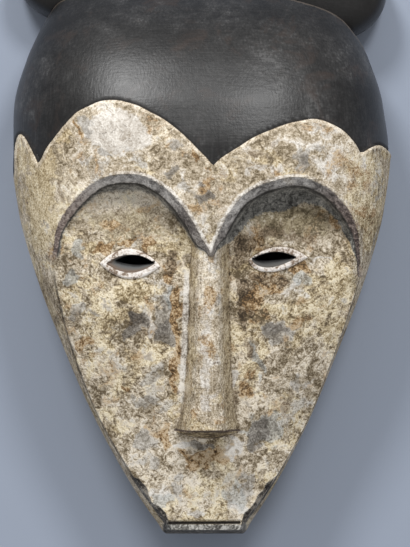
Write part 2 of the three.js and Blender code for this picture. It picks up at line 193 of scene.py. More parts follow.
crownLine = [(-150, 60), (-140, 108), (-126, 138), (-114.3, 154.5), (-102.5, 167.1), (-67.4, 179),
             (-20, 181.5), (25, 175.5), (67.4, 166.7), (98.2, 156.1), (114.3, 140), (128, 118), (140, 90),
             (150, 60)]

hair = {
    "lobes": [{"at": (-92.2, 189.4), "radius": (46.1, 36)}, {"at": (92.2, 175.3), "radius": (46.1, 36)}],
    "lobeThickness": 46,
    "lobeProfile": [(0.93, 0), (0.99, 0.2), (1, 0.45), (0.97, 0.68), (0.88, 0.86), (0.7, 0.96),
                    (0.4, 0.995), (0.02, 1)],
    "lobeSides": 96,
    "bandTop": along([(-95, 219), (-60, 209), (-10, 191), (20, 188), (60, 196), (95, 206)]),
    "bandThickness": 40,
    "bandFrom": 150,
    "bandReach": 95,
    "bandCut": (2, 6),
    "rounding": 9,
}

hollow = {
    "start": head["chinEnd"] + 2.2 * head["wall"],
    "end": 166,
    "squareness": 3.8,
    "ends": 40,
    "crownShare": 0.35,
    "chinShare": 0.6,
    "widthShare": 0.3,
    "foreheadWall": 1.15,
    "faceWall": 1.35,
    "foreheadFrom": 5,
    "foreheadTo": 55,
    "faceTop": 60,
}

# how low and how high the cutting tools reach; the hollow's top follows the face
toolReach = {"crown": (-10.0, 200.0), "eye": (20.0, 135.0), "hollow": -20.0}


def headHeight(x, y):
    across = np.clip(np.abs(x - head["middle"](y)) / head["halfWidth"](y), 0, 1)
    power = head["squareness"](y)
    belly = head["belly"](y)
    return belly + (head["front"](y) - belly) * (1 - across ** power) ** (1 / power)


def faceHeight(x, y):
    fromMiddle = x - head["middle"](y)
    fall = face["fall"](y) * np.abs(fromMiddle / face["jaw"](y)) ** 2.2
    beside = (np.abs(x) - face["socketX"]) / face["socketRadius"]
    socket = np.hypot(beside, (y - face["socketY"]) / face["socketRadius"])
    return face["middle"](y) - face["lean"] * fromMiddle - fall - face["socketDepth"] * np.exp(-socket ** 2)


# Lines of the carving, with the small wander of a hand-held knife

wander = {"brow": 0.7, "cap": 0.6, "length": 14, "fade": 6}


def wandering(line, amount, seed):
    length = wander["length"]
    wanders = []
    for a, b in line:
        sideways = noise.noise(Vector((a / length, b / length, seed)))
        upwards = noise.noise(Vector((a / length, b / length, seed + 7)))
        wanders.append((sideways, upwards))
    fromStart = np.arange(len(line))
    fade = np.minimum(1, np.minimum(fromStart, fromStart[::-1]) / wander["fade"])[:, None]
    return line + amount * fade * np.array(wanders)


browSeeds = {"left": 3, "right": 5}
browLines = [wandering(smoothLine(brow[side], 240), wander["brow"], browSeeds[side]) for side in browSeeds]
browLine = np.vstack(browLines)
faceOutline = np.vstack([browLine, [(160, -36), (160, -250), (-160, -250), (-160, -22)]])
capLines = [wandering(smoothLine(line, 40 * len(line)), wander["cap"], seed)
            for seed, line in enumerate(capEdge, 11)]
capLine = np.vstack(capLines)
capOutline = np.vstack([capLine, [(160, 240), (-160, 240)]])
crownOutline = np.vstack([[(-150, -260)], smoothLine(crownLine, 300), [(150, -260)]])


def inside(outline, x, y):
    # whether each point lies inside a closed outline
    result = np.zeros(len(x), bool)
    ends = np.roll(outline, -1, axis=0)
    for (ax, ay), (bx, by) in zip(outline, ends):
        crosses = (ay > y) != (by > y)
        if crosses.any():
            result ^= crosses & (x < (bx - ax) * (y - ay) / (by - ay if by != ay else 1) + ax)
    return result


def distanceTo(line, x, y):
    # distance from each point to a line of close points, and the nearest point itself
    tree = KDTree(len(line))
    for i, (a, b) in enumerate(line):
        tree.insert((a, b, 0), i)
    tree.balance()
    found = [tree.find((a, b, 0)) for a, b in zip(x, y)]
    return np.array([d for _, _, d in found]), line[[i for _, i, _ in found]]


def signedDistance(line, outline, x, y):
    distance, nearest = distanceTo(line, x, y)
    return np.where(inside(outline, x, y), distance, -distance), nearest


def bow(share, skew=1.0):
    # rises from 0 to 1 and back, with its top nearer the start where skewed
    share = share ** skew
    return 4 * share * (1 - share)


def almondDepth(almond, x, y):
    # how far inside an almond each point lies, up and down
    (ax, ay), (bx, by) = almond["start"], almond["end"]
    share = np.clip((x - ax) / (bx - ax), 0, 1)
    offset = y - (ay + (by - ay) * share)
    over = almond["rise"] * bow(share)
    under = almond["fall"] * bow(share, almond.get("fallSkew", 1))
    reach = np.where(offset > 0, over, under)
    outside = np.maximum(ax - x, x - bx)
    return np.where(outside > 0, -outside - np.abs(offset), reach - np.abs(offset))


def noseShare(x, y):
    # 1 on the nose's ridge, falling to 0 at its foot
    base = nose["base"](y)
    ridge = nose["ridge"](y) / base
    across = np.abs(x - nose["middle"](y)) / base
    across = np.clip(across, 0, 1.15)
    stations = [np.zeros_like(across), 0.55 * ridge, ridge, 0.62 + 0.38 * ridge, np.ones_like(across)]
    heights = [1, 0.975, 0.86, 0.42, 0]
    share = np.zeros_like(across)
    for i in range(4):
        within = (across >= stations[i]) & (across <= stations[i + 1])
        t = (across - stations[i]) / np.maximum(stations[i + 1] - stations[i], 1e-6)
        share = np.where(within, heights[i] + (heights[i + 1] - heights[i]) * t, share)
    reach = (nose["end"] - nose["foot"]) * (1 - 0.7 * np.minimum(across, 1) ** 2)
    under = 1 - (nose["end"] - y) / np.maximum(reach, 0.5)
    share = np.minimum(share, np.where(y < nose["end"], under, 1))
    return np.where((y > nose["top"]) | (share < 0), 0, share)


# The chipped chin edges: place, size and turn in degrees

chips = [
    ((-43.8, -191), (3.3, 13), 34),
    ((-29.5, -209.5), (3.6, 9), 33),
    ((46.4, -194), (3.1, 14), -36),
    ((35.6, -210.5), (4, 9), -33),
]
chipEdge = {"wander": 1.5, "length": 6, "depth": 2.2, "from": -0.6, "to": 1.6}


def chipDepth(x, y):
    # how far inside a chip each point lies
    flat = np.zeros_like(x)
    sideways = roughNoise(x, y, flat, chipEdge["length"], 21)
    upwards = roughNoise(x, y, flat, chipEdge["length"], 22)
    x, y = x + chipEdge["wander"] * sideways, y + chipEdge["wander"] * upwards
    total = np.full(len(x), -50.0)
    for (cx, cy), (rx, ry), turn in chips:
        a = math.radians(turn)
        u = ((x - cx) * math.cos(a) + (y - cy) * math.sin(a)) / rx
        v = ((y - cy) * math.cos(a) - (x - cx) * math.sin(a)) / ry
        total = np.maximum(total, (1 - np.hypot(u, v)) * min(rx, ry))
    return total


def carvedHeight(x, y, browDistance):
    # height of the front: forehead, brow band, brow wall, face plane, nose, lids and mouth
    block = headHeight(x, y)
    plane = faceHeight(x, y)
    room = np.maximum(0, block - plane)
    most = brow["mostOfRoom"]
    drop = np.minimum(brow["drop"], room * most["drop"])
    foot = plane + np.minimum(brow["foot"], room * most["foot"])
    wallStart = brow["band"]
    wallEnd = wallStart + brow["wall"]
    hollowEnd = wallEnd + brow["hollow"]
    band = block - drop * np.clip(browDistance / wallStart, 0, 1)
    down = smooth(browDistance, wallStart, wallEnd)
    wall = band + (foot - band) * down
    rest = np.clip((browDistance - wallEnd) / (hollowEnd - wallEnd), 0, 1)
    hollowed = foot + (plane - foot) * (1 - (1 - rest) ** 2)
    carved = np.where(browDistance < wallStart, band, np.where(browDistance < wallEnd, wall, hollowed))
    ridge = brow["ridge"] * np.minimum(1, room * most["ridge"])
    ridge = ridge * np.exp(-(browDistance / brow["ridgeWidth"]) ** 2)
    height = np.where(browDistance > 0, np.minimum(block, carved), block) + ridge
    noseHeight = plane + nose["height"](y) * noseShare(x, y)
    height = np.where((browDistance > 0) & (noseShare(x, y) > 0), np.maximum(height, noseHeight), height)
    for eye in eyes:
        lid = almondDepth(eye["lid"], x, y)
        opening = almondDepth(eye["opening"], x, y)
        slot = almondDepth(eye["slot"], x, y)
        height = height + lidHeight * smooth(lid, *lidEdge)
        bevel = np.clip(opening / np.maximum(opening - slot, 0.3), 0, 1)
        height = height - slotDepth * np.where(opening > 0, np.where(slot > 0, 1, bevel), 0)
    height = height - chipEdge["depth"] * smooth(chipDepth(x, y), chipEdge["from"], chipEdge["to"])
    groove = np.clip(1 - np.abs(y - mouth["y"]) / mouth["gap"], 0, 1) ** 0.6
    acrossMouth = smooth(mouth["halfWidth"] + 0.6 - np.abs(x - mouth["middle"]), 0, 1.6)
    lipLevel = faceHeight(np.zeros_like(x), np.full_like(y, mouth["y"])) - mouth["lipSink"]
    below = smooth(mouth["y"] - y, -0.5, 0.5)
    height = height - mouth["depth"] * groove * acrossMouth
    return np.minimum(height, height * (1 - below) + lipLevel * below + 20 * (1 - below))


def chinLimit(y):
    # the chin's underside slopes away to the block's flat end
    lipLevel = float(faceHeight(np.array([0.0]), np.array([float(mouth["y"])]))[0]) - mouth["lipSink"]
    depth = np.clip((head["chinEnd"] + mouth["chinCut"] - y) / mouth["chinCut"], 0, 1)
    flat = mouth["lipFlat"]
    return np.where(depth > 0, lipLevel - flat - (mouth["chinCutDepth"] - flat) * depth, 1000)


# Rows lie closer together at the mouth, the nose's end and the eyes: the spacing up to each height

rowSteps = [(-209, 0.75), (-155.5, 1.55), (-143, 0.8), (-41, 1.55), (-11, 1.1), (100, 1.55),
            (head["crownEnd"], 1.9)]


def spacedRows():
    rows = [head["chinEnd"]]
    while rows[-1] < head["crownEnd"]:
        rows.append(rows[-1] + next(step for top, step in rowSteps if rows[-1] < top))
    rows[-1] = head["crownEnd"]
    return np.array(rows)


def jawShare(y, sign):
    # where the face plane meets the side, as a share of the half width
    shares = np.linspace(0.6, 0.999, 500)
    limit = -20 if sign < 0 else -34
    capped = np.minimum(y, limit)
    x = head["middle"](capped)[:, None] + sign * shares * head["halfWidth"](capped)[:, None]
    yy = np.repeat(capped[:, None], len(shares), axis=1)
    above = headHeight(x, yy) > faceHeight(x, yy)
    last = shares[np.clip(above.shape[1] - 1 - np.argmax(above[:, ::-1], axis=1), 0, len(shares) - 1)]
    toTop = smooth(y, limit, limit + 70)
    return last * (1 - toTop) + 0.86 * toTop


def spread(curve, count):
    # evenly spaced points along each row's curve
    steps = np.linalg.norm(np.diff(curve, axis=1), axis=2)
    length = np.concatenate([np.zeros((len(curve), 1)), np.cumsum(steps, axis=1)], axis=1)
    result = np.empty((len(curve), count, curve.shape[2]))
    for i in range(len(curve)):
        wanted = np.linspace(0, length[i, -1], count)
        for axis in range(curve.shape[2]):
            result[i, :, axis] = np.interp(wanted, length[i], curve[i, :, axis])
    return result


def sideGrid(y, sign):
    # from the jaw edge over the widest level to the rim
    edge = jawShare(y, sign)
    power = head["squareness"](y)
    turn = np.arccos(np.clip(edge, 0, 1) ** (power / 2))
    turns = turn[:, None] * np.linspace(1, 0, 60)[None, :]
    halfWidth, middle, belly = head["halfWidth"](y), head["middle"](y), head["belly"](y)
    share = np.cos(turns) ** (2 / power[:, None])
    upX = middle[:, None] + sign * halfWidth[:, None] * share
    upZ = belly[:, None] + (head["front"](y) - belly)[:, None] * np.sin(turns) ** (2 / power[:, None])
    down = np.linspace(1, 0, 20)[None, 1:]
    taper = 1 - (1 - head["rimTaper"]) * (1 - down) ** 2
    downX = middle[:, None] + sign * halfWidth[:, None] * taper
    downZ = belly[:, None] * down
    curve = np.stack([np.hstack([upX, downX]), np.hstack([upZ, downZ])], axis=2)
    return spread(curve, head["sideColumns"] + 1)


def frontGrid(y):
    # columns across the front, even on the face plane and even along the curve of the forehead
    left = head["middle"](y) - jawShare(y, -1) * head["halfWidth"](y)
    right = head["middle"](y) + jawShare(y, 1) * head["halfWidth"](y)
    share = np.linspace(0, 1, 240)[None, :]
    x = right[:, None] + (left - right)[:, None] * share
    yy = np.repeat(y[:, None], share.shape[1], axis=1)
    curve = np.stack([x, headHeight(x, yy)], axis=2)
    curved = spread(curve, head["frontColumns"] + 1)[:, :, 0]
    even = right[:, None] + (left - right)[:, None] * np.linspace(0, 1, head["frontColumns"] + 1)[None, :]
    blend = smooth(y, -30, 60)[:, None]
    return even * (1 - blend) + curved * blend


def snapped(x, y, line, reach):
    # draws the points that lie close to a line onto it
    distance, nearest = distanceTo(line, x, y)
    near = distance < reach
    return np.where(near, nearest[:, 0], x), np.where(near, nearest[:, 1], y)


def almondLine(almond, steps=160):
    (ax, ay), (bx, by) = almond["start"], almond["end"]
    share = np.linspace(0, 1, steps)
    x = ax + (bx - ax) * share
    chord = ay + (by - ay) * share
    over = chord + almond["rise"] * bow(share)
    under = chord - almond["fall"] * bow(share, almond.get("fallSkew", 1))
    return np.vstack([np.column_stack([x, over]), np.column_stack([x, under])])


def noseLines():
    y = np.linspace(nose["end"], nose["top"], 200)
    middle, base, ridge = nose["middle"](y), nose["base"](y), nose["ridge"](y)
    sides = [np.column_stack([middle + sign * width, y]) for sign in (-1, 1) for width in (base, ridge)]
    return np.vstack(sides)


def makeHead():
    y = spacedRows()
    rightSide, leftSide = sideGrid(y, 1), sideGrid(y, -1)
    frontX = frontGrid(y)
    rows, columns = frontX.shape
    x = frontX[:, 1:-1].ravel()
    yy = np.repeat(y[:, None], columns - 2, axis=1).ravel()
    for line in (noseLines(), *(almondLine(eye[part]) for eye in eyes for part in ("opening", "lid"))):
        x, yy = snapped(x, yy, line, 0.5)
    x, yy = snapped(x, yy, np.vstack([browLine, capLine]), 0.62)
    z = carvedHeight(x, yy, signedDistance(browLine, faceOutline, x, yy)[0])
    front = np.dstack([x.reshape(rows, -1), yy.reshape(rows, -1), z.reshape(rows, -1)])

    def withY(side):
        return np.dstack([side[:, :, 0], np.repeat(y[:, None], side.shape[1], axis=1), side[:, :, 1]])

    grid = np.concatenate([withY(rightSide)[:, ::-1], front, withY(leftSide)], axis=1)
    grid[:, :, 2] = np.minimum(grid[:, :, 2], chinLimit(grid[:, :, 1]))
    return grid


def lowered(grid):
    # the cap lies a little lower than the white face, with a bead along the white edge
    x, y = grid[:, :, 0].ravel(), grid[:, :, 1].ravel()
    distance, _ = signedDistance(capLine, capOutline, x, y)
    distance = distance.reshape(grid.shape[:2])
    across = np.gradient(grid, axis=1)
    upward = np.gradient(grid, axis=0)
    normal = np.cross(upward, across)
    normal /= np.maximum(np.linalg.norm(normal, axis=2, keepdims=True), 1e-9)
    bead, groove = (
        form["height"] * np.exp(-((distance - form["at"]) / form["width"]) ** 2) for form in capRim
    )
    shift = bead + groove - capStep * smooth(distance, -0.2, 0.8)
    atLeftEnd = np.where(grid[:, :, 0] < -125, smooth(grid[:, :, 1], 36, 58), 1)
    return grid + normal * (shift * atLeftEnd)[:, :, None]


def meshObject(name, points, faces):
    mesh = bpy.data.meshes.new(name)
    mesh.from_pydata([tuple(p) for p in np.asarray(points) * mm], [], faces)
    mesh.validate()
    piece = bpy.data.objects.new(name, mesh)
    bpy.context.collection.objects.link(piece)
    return piece


def select(piece):
    bpy.ops.object.select_all(action="DESELECT")
    piece.select_set(True)
    bpy.context.view_layer.objects.active = piece


def closeUp(piece):
    # merges doubled points, fills open loops and turns all faces outwards
    select(piece)
    bpy.ops.object.mode_set(mode="EDIT")
    bpy.ops.mesh.select_all(action="SELECT")
    bpy.ops.mesh.remove_doubles(threshold=0.00002)
    bpy.ops.mesh.select_all(action="SELECT")
    bpy.ops.mesh.fill_holes(sides=0)
    bpy.ops.mesh.select_all(action="SELECT")
    bpy.ops.mesh.normals_make_consistent(inside=False)
    bpy.ops.object.mode_set(mode="OBJECT")
    return piece


def gridFaces(rows, columns, closed=False):
    faces = []
    for r in range(rows - 1):
        for c in range(columns if closed else columns - 1):
            n = (c + 1) % columns
            faces.append((r * columns + c, r * columns + n, (r + 1) * columns + n, (r + 1) * columns + c))
    return faces


def endFaces(rows, columns):
    # flat faces over the first and the last row
    return [tuple(range(columns))[::-1], tuple((rows - 1) * columns + c for c in range(columns))]


def loftObject(name, rings):
    # a closed solid through rings of equally many points
    rings = np.array(rings)
    rows, columns = rings.shape[:2]
    faces = gridFaces(rows, columns, closed=True) + endFaces(rows, columns)
    return closeUp(meshObject(name, rings.reshape(-1, 3), faces))


def prismObject(name, outline, reach):
    # an outline drawn out from one height to another
    return loftObject(name, [np.column_stack([outline, np.full(len(outline), z)]) for z in reach])


def combine(piece, tool, operation):
    select(piece)
    modifier = piece.modifiers.new(operation.lower(), "BOOLEAN")
    modifier.operation = operation
    modifier.solver = "MANIFOLD"
    modifier.object = tool
    bpy.ops.object.modifier_apply(modifier=modifier.name)
    bpy.data.objects.remove(tool, do_unlink=True)


def makeShell():
    grid = lowered(makeHead())
    grid[:, [0, -1], 2] = 0
    rows, columns = grid.shape[:2]
    faces = gridFaces(rows, columns) + endFaces(rows, columns)
    under = [r * columns for r in range(rows)] + [r * columns + columns - 1 for r in reversed(range(rows))]
    faces.append(tuple(under))
    return closeUp(meshObject("carvedMask", grid.reshape(-1, 3), faces))


def makeLobe(lobe):
    # a thick rounded lobe with a flat back
    sides = hair["lobeSides"]
    around = np.linspace(0, 2 * np.pi, sides + 1)[:-1]
    rings = []
    for share, height in smoothLine(hair["lobeProfile"], 28):
        rings.append(np.column_stack([lobe["at"][0] + lobe["radius"][0] * share * np.cos(around),
                                      lobe["at"][1] + lobe["radius"][1] * share * np.sin(around),
                                      np.full(sides, max(0, height) * hair["lobeThickness"])]))
    return loftObject("lobe", rings)


def makeHairBand():
    rings = []
    thick, rounding = hair["bandThickness"], hair["rounding"]
    inset, rise = hair["bandCut"]
    corner = np.linspace(0, math.pi / 2, 8)
    for x in np.linspace(-hair["bandReach"], hair["bandReach"], 60):
        top = float(hair["bandTop"](x))
        edge = [
            (top - rounding + rounding * math.cos(a), thick - rounding + rounding * math.sin(a))
            for a in corner
        ]
        section = [(hair["bandFrom"], 0), (top - inset, 0), (top, rise), *edge, (hair["bandFrom"], thick)]
        rings.append([(x, y, z) for y, z in section])
    return loftObject("hairBand", rings)


def behindFace(x, y):
    # the deepest that the hollow may reach, one wall behind the front
    rise = smooth(y, hollow["foreheadFrom"], hollow["foreheadTo"])
    low = faceHeight(x, np.minimum(y, hollow["faceTop"])) - head["wall"]
    return low * (1 - rise) + (headHeight(x, y) - head["wall"]) * rise


def makeHollow():
    rings = []
    for y in np.linspace(hollow["start"], hollow["end"], 100):
        toCrown = (hollow["end"] - y) / hollow["ends"] + hollow["crownShare"]
        toChin = (y - hollow["start"]) / hollow["ends"] + hollow["chinShare"]
        shrink = min(1, toCrown, toChin)
        halfWidth = (float(head["halfWidth"](y)) - head["wall"]) * min(1, shrink + hollow["widthShare"])
        rise = float(smooth(y, hollow["foreheadFrom"], hollow["foreheadTo"]))
        inForehead = float(head["front"](y)) - head["wall"] * hollow["foreheadWall"]
        inFace = float(face["middle"](min(y, hollow["faceTop"]))) - head["wall"] * hollow["faceWall"]
        top = min(inForehead, inFace * (1 - rise) + inForehead * rise) * shrink
        turns = np.linspace(0, math.pi, 61)
        power = 2 / hollow["squareness"]
        across = np.sign(np.cos(turns)) * np.abs(np.cos(turns)) ** power
        x = float(head["middle"](y)) + halfWidth * across
        z = top * np.abs(np.sin(turns)) ** power
        z = np.minimum(z, behindFace(x, np.full_like(x, y)))
        low = toolReach["hollow"]
        rings.append([(x[0], y, low), *zip(x, np.full_like(x, y), z), (x[-1], y, low)])
    return loftObject("hollowTool", rings)


def makeEyeTool(eye):
    outline = almondLine(eye["slot"], 48)
    outline = np.vstack([outline[:48], outline[48:][::-1][1:-1]])
    return prismObject("eyeTool", outline, toolReach["eye"])


print("shaping the carved front")
mask = makeShell()
combine(mask, prismObject("crownTool", crownOutline, toolReach["crown"]), "INTERSECT")
print("adding the hair")
for lobe in hair["lobes"]:
    combine(mask, makeLobe(lobe), "UNION")
combine(mask, makeHairBand(), "UNION")
print("hollowing the back and opening the eyes")
combine(mask, makeHollow(), "DIFFERENCE")
for eye in eyes:
    combine(mask, makeEyeTool(eye), "DIFFERENCE")
mask.data.calc_loop_triangles()
print("the mask has", len(mask.data.loop_triangles), "triangles")

select(mask)
bpy.ops.object.shade_smooth_by_angle(angle=math.radians(38))


# What the paint follows: distances in millimetres to the carved lines, kept on the points

stains = {
    # place, size, turn in degrees, strength
    "yellow": [
        (-98, 64, 4, 4, 0, 0.8), (49, 48, 16, 6, 0, 0.5), (109, 47, 7, 12, 0, 0.6), (22, 37, 6, 10, 0, 0.5),
        (-116, 20, 10, 40, 0, 0.9), (124, 20, 10, 40, 0, 0.9), (101, -38, 10, 22, 0, 0.7),
        (-91, -49, 10, 6, 0, 0.8), (-47, -46, 17, 9, 0, 0.8), (-20, -127, 4, 12, 0, 0.7),
        (-80, -100, 4, 12, 0, 0.6), (94, -74, 10, 17, 0, 0.6), (-4, -196, 6, 10, 0, 0.7),
        (13, -190, 6, 10, 0, 0.7),
    ],
    "olive": [
        (-54, 2, 30, 14, 0, 0.55), (64, 4, 30, 13, 0, 0.9),
    ],
    "rust": [
        (-3, 47, 4, 4, -40, 0.8), (-89, 71, 2, 9, 15, 0.8), (-69, -13, 9, 4, 10, 0.9),
        (-53, -10, 4, 2, 0, 0.9), (-41, -15, 6, 3, 30, 0.8), (-60, -1, 13, 3, 0, 0.5),
        (-22, -32, 6, 10, 0, 0.6), (39, -12, 7, 6, 0, 0.9), (50, -38, 14, 7, 0, 0.9),
        (73, -29, 6, 4, 0, 0.7), (35, -52, 6, 10, 0, 0.7), (-17, -61, 4, 18, 0, 1),
        (-18, -97, 4, 21, -2, 1), (-84, -84, 6, 6, 0, 0.7), (-54, -118, 3, 4, 0, 0.7),
        (44, -65, 9, 6, 0, 0.6), (33, -113, 4, 9, 0, 0.7), (71, -67, 10, 6, 0, 0.6),
        (-24, -153, 4, 10, 0, 0.8), (9, -166, 11, 5, 0, 1), (-3, -171, 12, 5, 20, 0.9),
        (-12, -166, 5, 5, 0, 0.8),
    ],
    "brown": [
        (34, 53, 6, 3, 0, 0.5), (-101, 35, 2, 16, 0, 0.5), (-21, -25, 4, 10, 0, 0.7),
        (51, -6, 13, 6, 20, 0.6), (29, -18, 8, 11, -20, 0.9), (71, -9, 12, 4, -10, 0.5),
        (44, -36, 12, 4, 10, 0.65), (60, -38, 7, 3, 0, 0.8), (29, -46, 4, 10, 0, 0.9),
        (32, -64, 4, 10, 0, 0.8), (-67, -78, 10, 4, 0, 0.5), (-46, -69, 10, 8, 0, 0.8),
        (-94, -64, 10, 5, 0, 0.5), (37, -90, 4, 7, 0, 0.8), (28, -123, 3, 9, 0, 0.7),
        (63, -125, 4, 10, 0, 0.5), (-8, -165, 6, 2, 0, 0.7),
    ],
    "grey": [
        (-81, 72, 4, 9, 12, 0.8), (-68, 50, 6, 3, 0, 0.9), (-20, 58, 5, 5, 0, 0.7),
        (-10, 30, 7, 4, -40, 0.5), (73, 46, 6, 9, 0, 0.8), (87, 56, 6, 4, 0, 0.5),
        (-87, -59, 11, 5, 0, 0.8), (-34, -104, 12, 7, 30, 0.7), (-40, -127, 13, 6, 0, 0.8),
        (59, -76, 12, 8, 0, 1), (-26, -61, 5, 16, 0, 0.9), (72, -113, 7, 6, 0, 0.7),
        (-41, -155, 9, 9, 0, 0.9), (-36, -172, 7, 6, 30, 0.6), (-18, -190, 6, 9, 0, 0.7),
        (34, -187, 7, 8, 0, 0.7),
    ],
    "blue": [
        (-90, -16, 5, 7, 0, 0.8), (74, -39, 9, 6, 0, 0.6), (-96, -36, 6, 5, 0, 0.8),
        (-23, -52, 4, 9, 0, 0.8), (47, -146, 13, 12, 0, 0.9), (25, -194, 7, 9, 0, 0.6),
        (41, -95, 4, 16, 10, 0.8), (-28, -199, 5, 6, -30, 0.8),
    ],
    "dark": [
        (-18, 37, 4, 4, 0, 0.6), (0, 22, 6, 4, -30, 0.8), (75, 49, 4, 4, 0, 0.6), (-45, -66, 9, 6, 0, 0.95),
        (-50, -77, 5, 7, -15, 0.9), (-25, -75, 5, 8, 0, 0.9), (-37, -127, 7, 4, 0, 0.5),
        (55, -74, 8, 5, 0, 0.6), (42, -147, 7, 9, 0, 0.8), (2, -157, 9, 4, 0, 0.95),
        (40, -158, 6, 6, 0, 0.7),
    ],
    "pale": [
        (-60, 66, 24, 17, 0, 0.8), (44, 40, 14, 4, 15, 0.5), (87, -23, 12, 2, 0, 0.6),
        (70, -47, 9, 6, 0, 0.5), (5, -95, 5, 45, 0, 0.5), (-34, -71, 4, 8, 0, 0.8),
        (24, -107, 3, 6, 0, 0.9), (-12, -158, 6, 4, 0, 0.9), (25, -160, 6, 7, 0, 0.9),
        (-4, -206, 7, 4, 0, 0.9), (27, -202, 6, 4, 0, 0.7), (-28, -190, 6, 6, 0, 0.5),
    ],
    # a drop of kaolin over the right brow
    "drop": [
        (62.8, 32.8, 4.5, 2.6, -10, 1),
    ],
}

tonesAndPaintedLight = [
    # place, size, how much lighter or darker the kaolin is: partly its own tone, partly painted
    # light that lifts places the carving shades, below the brows and under the nose
    (-60, 60, 46, 24, 0.04),
    (-5, 35, 30, 24, -0.12),
    (50, 52, 50, 20, -0.12),
    (-55, 19, 38, 8, 0.38),
    (-80, 12, 14, 8, 0.1),
    (-55, -8, 40, 12, -0.08),
    (-32, 8, 12, 14, 0.14),
    (60, 0, 56, 26, -0.23),
    (30, -20, 16, 30, -0.12),
    (-45, -130, 28, 26, 0.1),
    (50, -125, 28, 26, 0.04),
    (4, -168, 32, 14, 0.17),
    (-13, -158, 8, 6, 0.28),
    (25, -160, 8, 8, 0.2),
    (0, -196, 50, 22, 0.14),
    (5, -115, 9, 45, 0.02),
    (-120, 10, 14, 60, 0.0),
    (122, 10, 14, 60, 0.06),
    (-20, -40, 10, 16, -0.08),
    (36, -45, 12, 14, -0.12),
]


def ellipse(x, y, middleX, middleY, sizeX, sizeY, turn=0):
    # 0 at the middle of an ellipse and 1 on its outline
    a = math.radians(turn)
    u = ((x - middleX) * math.cos(a) + (y - middleY) * math.sin(a)) / sizeX
    v = ((y - middleY) * math.cos(a) - (x - middleX) * math.sin(a)) / sizeY
    return np.hypot(u, v)


def stainCover(kind, x, y):
    total = np.zeros(len(x))
    for *where, strength in stains[kind]:
        total = np.maximum(total, strength * smooth(1.45 - ellipse(x, y, *where), 0, 0.9))
    return total


browTip = brow["left"][-1][0]


def bandWidth(x, y):
    # the dark band under the ridge narrows towards both outer ends and where the brows meet
    atRight = np.where(x > 95, smooth(y, -34, 14), 1)
    atLeft = np.where(x < -95, smooth(y, -20, 14), 1)
    fromTip = smooth(np.abs(x - browTip), 0.3, 6)
    return brow["band"] * (0.3 + 0.7 * atRight) * (0.6 + 0.4 * atLeft) * (0.4 + 0.6 * fromTip)


shadeReach = along([(-108, 6), (-97, 8), (-78, 10), (-55, 12.5), (-33, 10.8), (-12, 10), (4, 7), (7.2, 3),
                    (10, 9), (15, 14.4), (25, 16.6), (40, 20), (56, 23), (66, 22), (76, 18.5), (88, 15.2),
                    (101, 12.2), (108, 11), (113, 10.6)])


def shadeWidth(x, y):
    # how far the dark shade under the ridge reaches
    return shadeReach(x) * np.where(x > 95, 0.2 + 0.8 * smooth(y, -30, 2), 1)


def browGuides(x, y):
    distance, nearest = signedDistance(browLine, faceOutline, x, y)
    nearX, nearY = nearest.T
    aboveEnds = np.where(nearX < 70, smooth(y, -26, -17), smooth(y, -46, -30))
    rightTop = smooth(nearX, 8, 20) * smooth(-nearX, -84, -58)
    onLeftRim = smooth(nearX, -75, -45)
    onRightRim = 1 - 0.7 * smooth(nearX, 60, 92)
    return {
        "brow": distance,
        "browBand": distance * brow["band"] / bandWidth(nearX, nearY),
        "browShade": distance / shadeWidth(nearX, nearY),
        "browOn": aboveEnds * smooth(x, -113, -109) * smooth(-x, -120, -116),
        "browRight": smooth(nearX, 4, 14),
        "browTop": np.maximum(smooth(nearY, 4, 34), rightTop),
        "browEnds": smooth(np.abs(nearX - 4), 70, 98),
        "browRim": np.where(nearX < 7, onLeftRim, onRightRim),
        "cool": smooth(-distance, -1, 8) * smooth(y, -5, 30) * smooth(-np.abs(x), -112, -95),
    }


def eyeGuides(x, y):
    guides = {part: np.maximum(*(almondDepth(eye[part], x, y) for eye in eyes)) for part in eyes[0]}
    guides["right"] = smooth(x, 0, 10)
    return guides


def noseGuides(x, y, z):
    across = (x - nose["middle"](y)) / nose["base"](y)
    onNose = smooth(y, nose["end"] - 1, nose["end"] + 1) * smooth(-y, -nose["top"] - 1, -nose["top"] + 6)
    nearNose = np.abs(across) < 1.1
    standsOut = smooth(z - faceHeight(x, y), 1.0, 3.0)
    return {
        "noseAcross": np.where(onNose > 0, across, 9),
        "filletOn": smooth(y, -132, -112) * smooth(-y, 26, 36),
        "noseEnd": np.where(np.abs(across) < 1.08, nose["end"] - y, -20),
        "noseUnder": smooth(nose["end"] - 0.4 - y, 0, 0.6) * standsOut * nearNose,
        "nosed": np.clip(1.15 - np.abs(across), 0, 1) * onNose,
    }


def chinGuides(x, y):
    fromMiddle = np.abs(x - mouth["middle"])
    inMouth = smooth(mouth["halfWidth"] + 1 - fromMiddle, 0, 2)
    return {
        "chip": chipDepth(x, y),
        "groove": np.maximum(0, 1 - np.abs(mouth["y"] - y) / 2.2) * inMouth,
        "belowMouth": mouth["y"] - y,
        "atLipEnd": 0.8 * smooth(fromMiddle, mouth["halfWidth"], mouth["halfWidth"] + 3),
        "lipBeside": smooth(fromMiddle, 29.5, 31.5),
    }


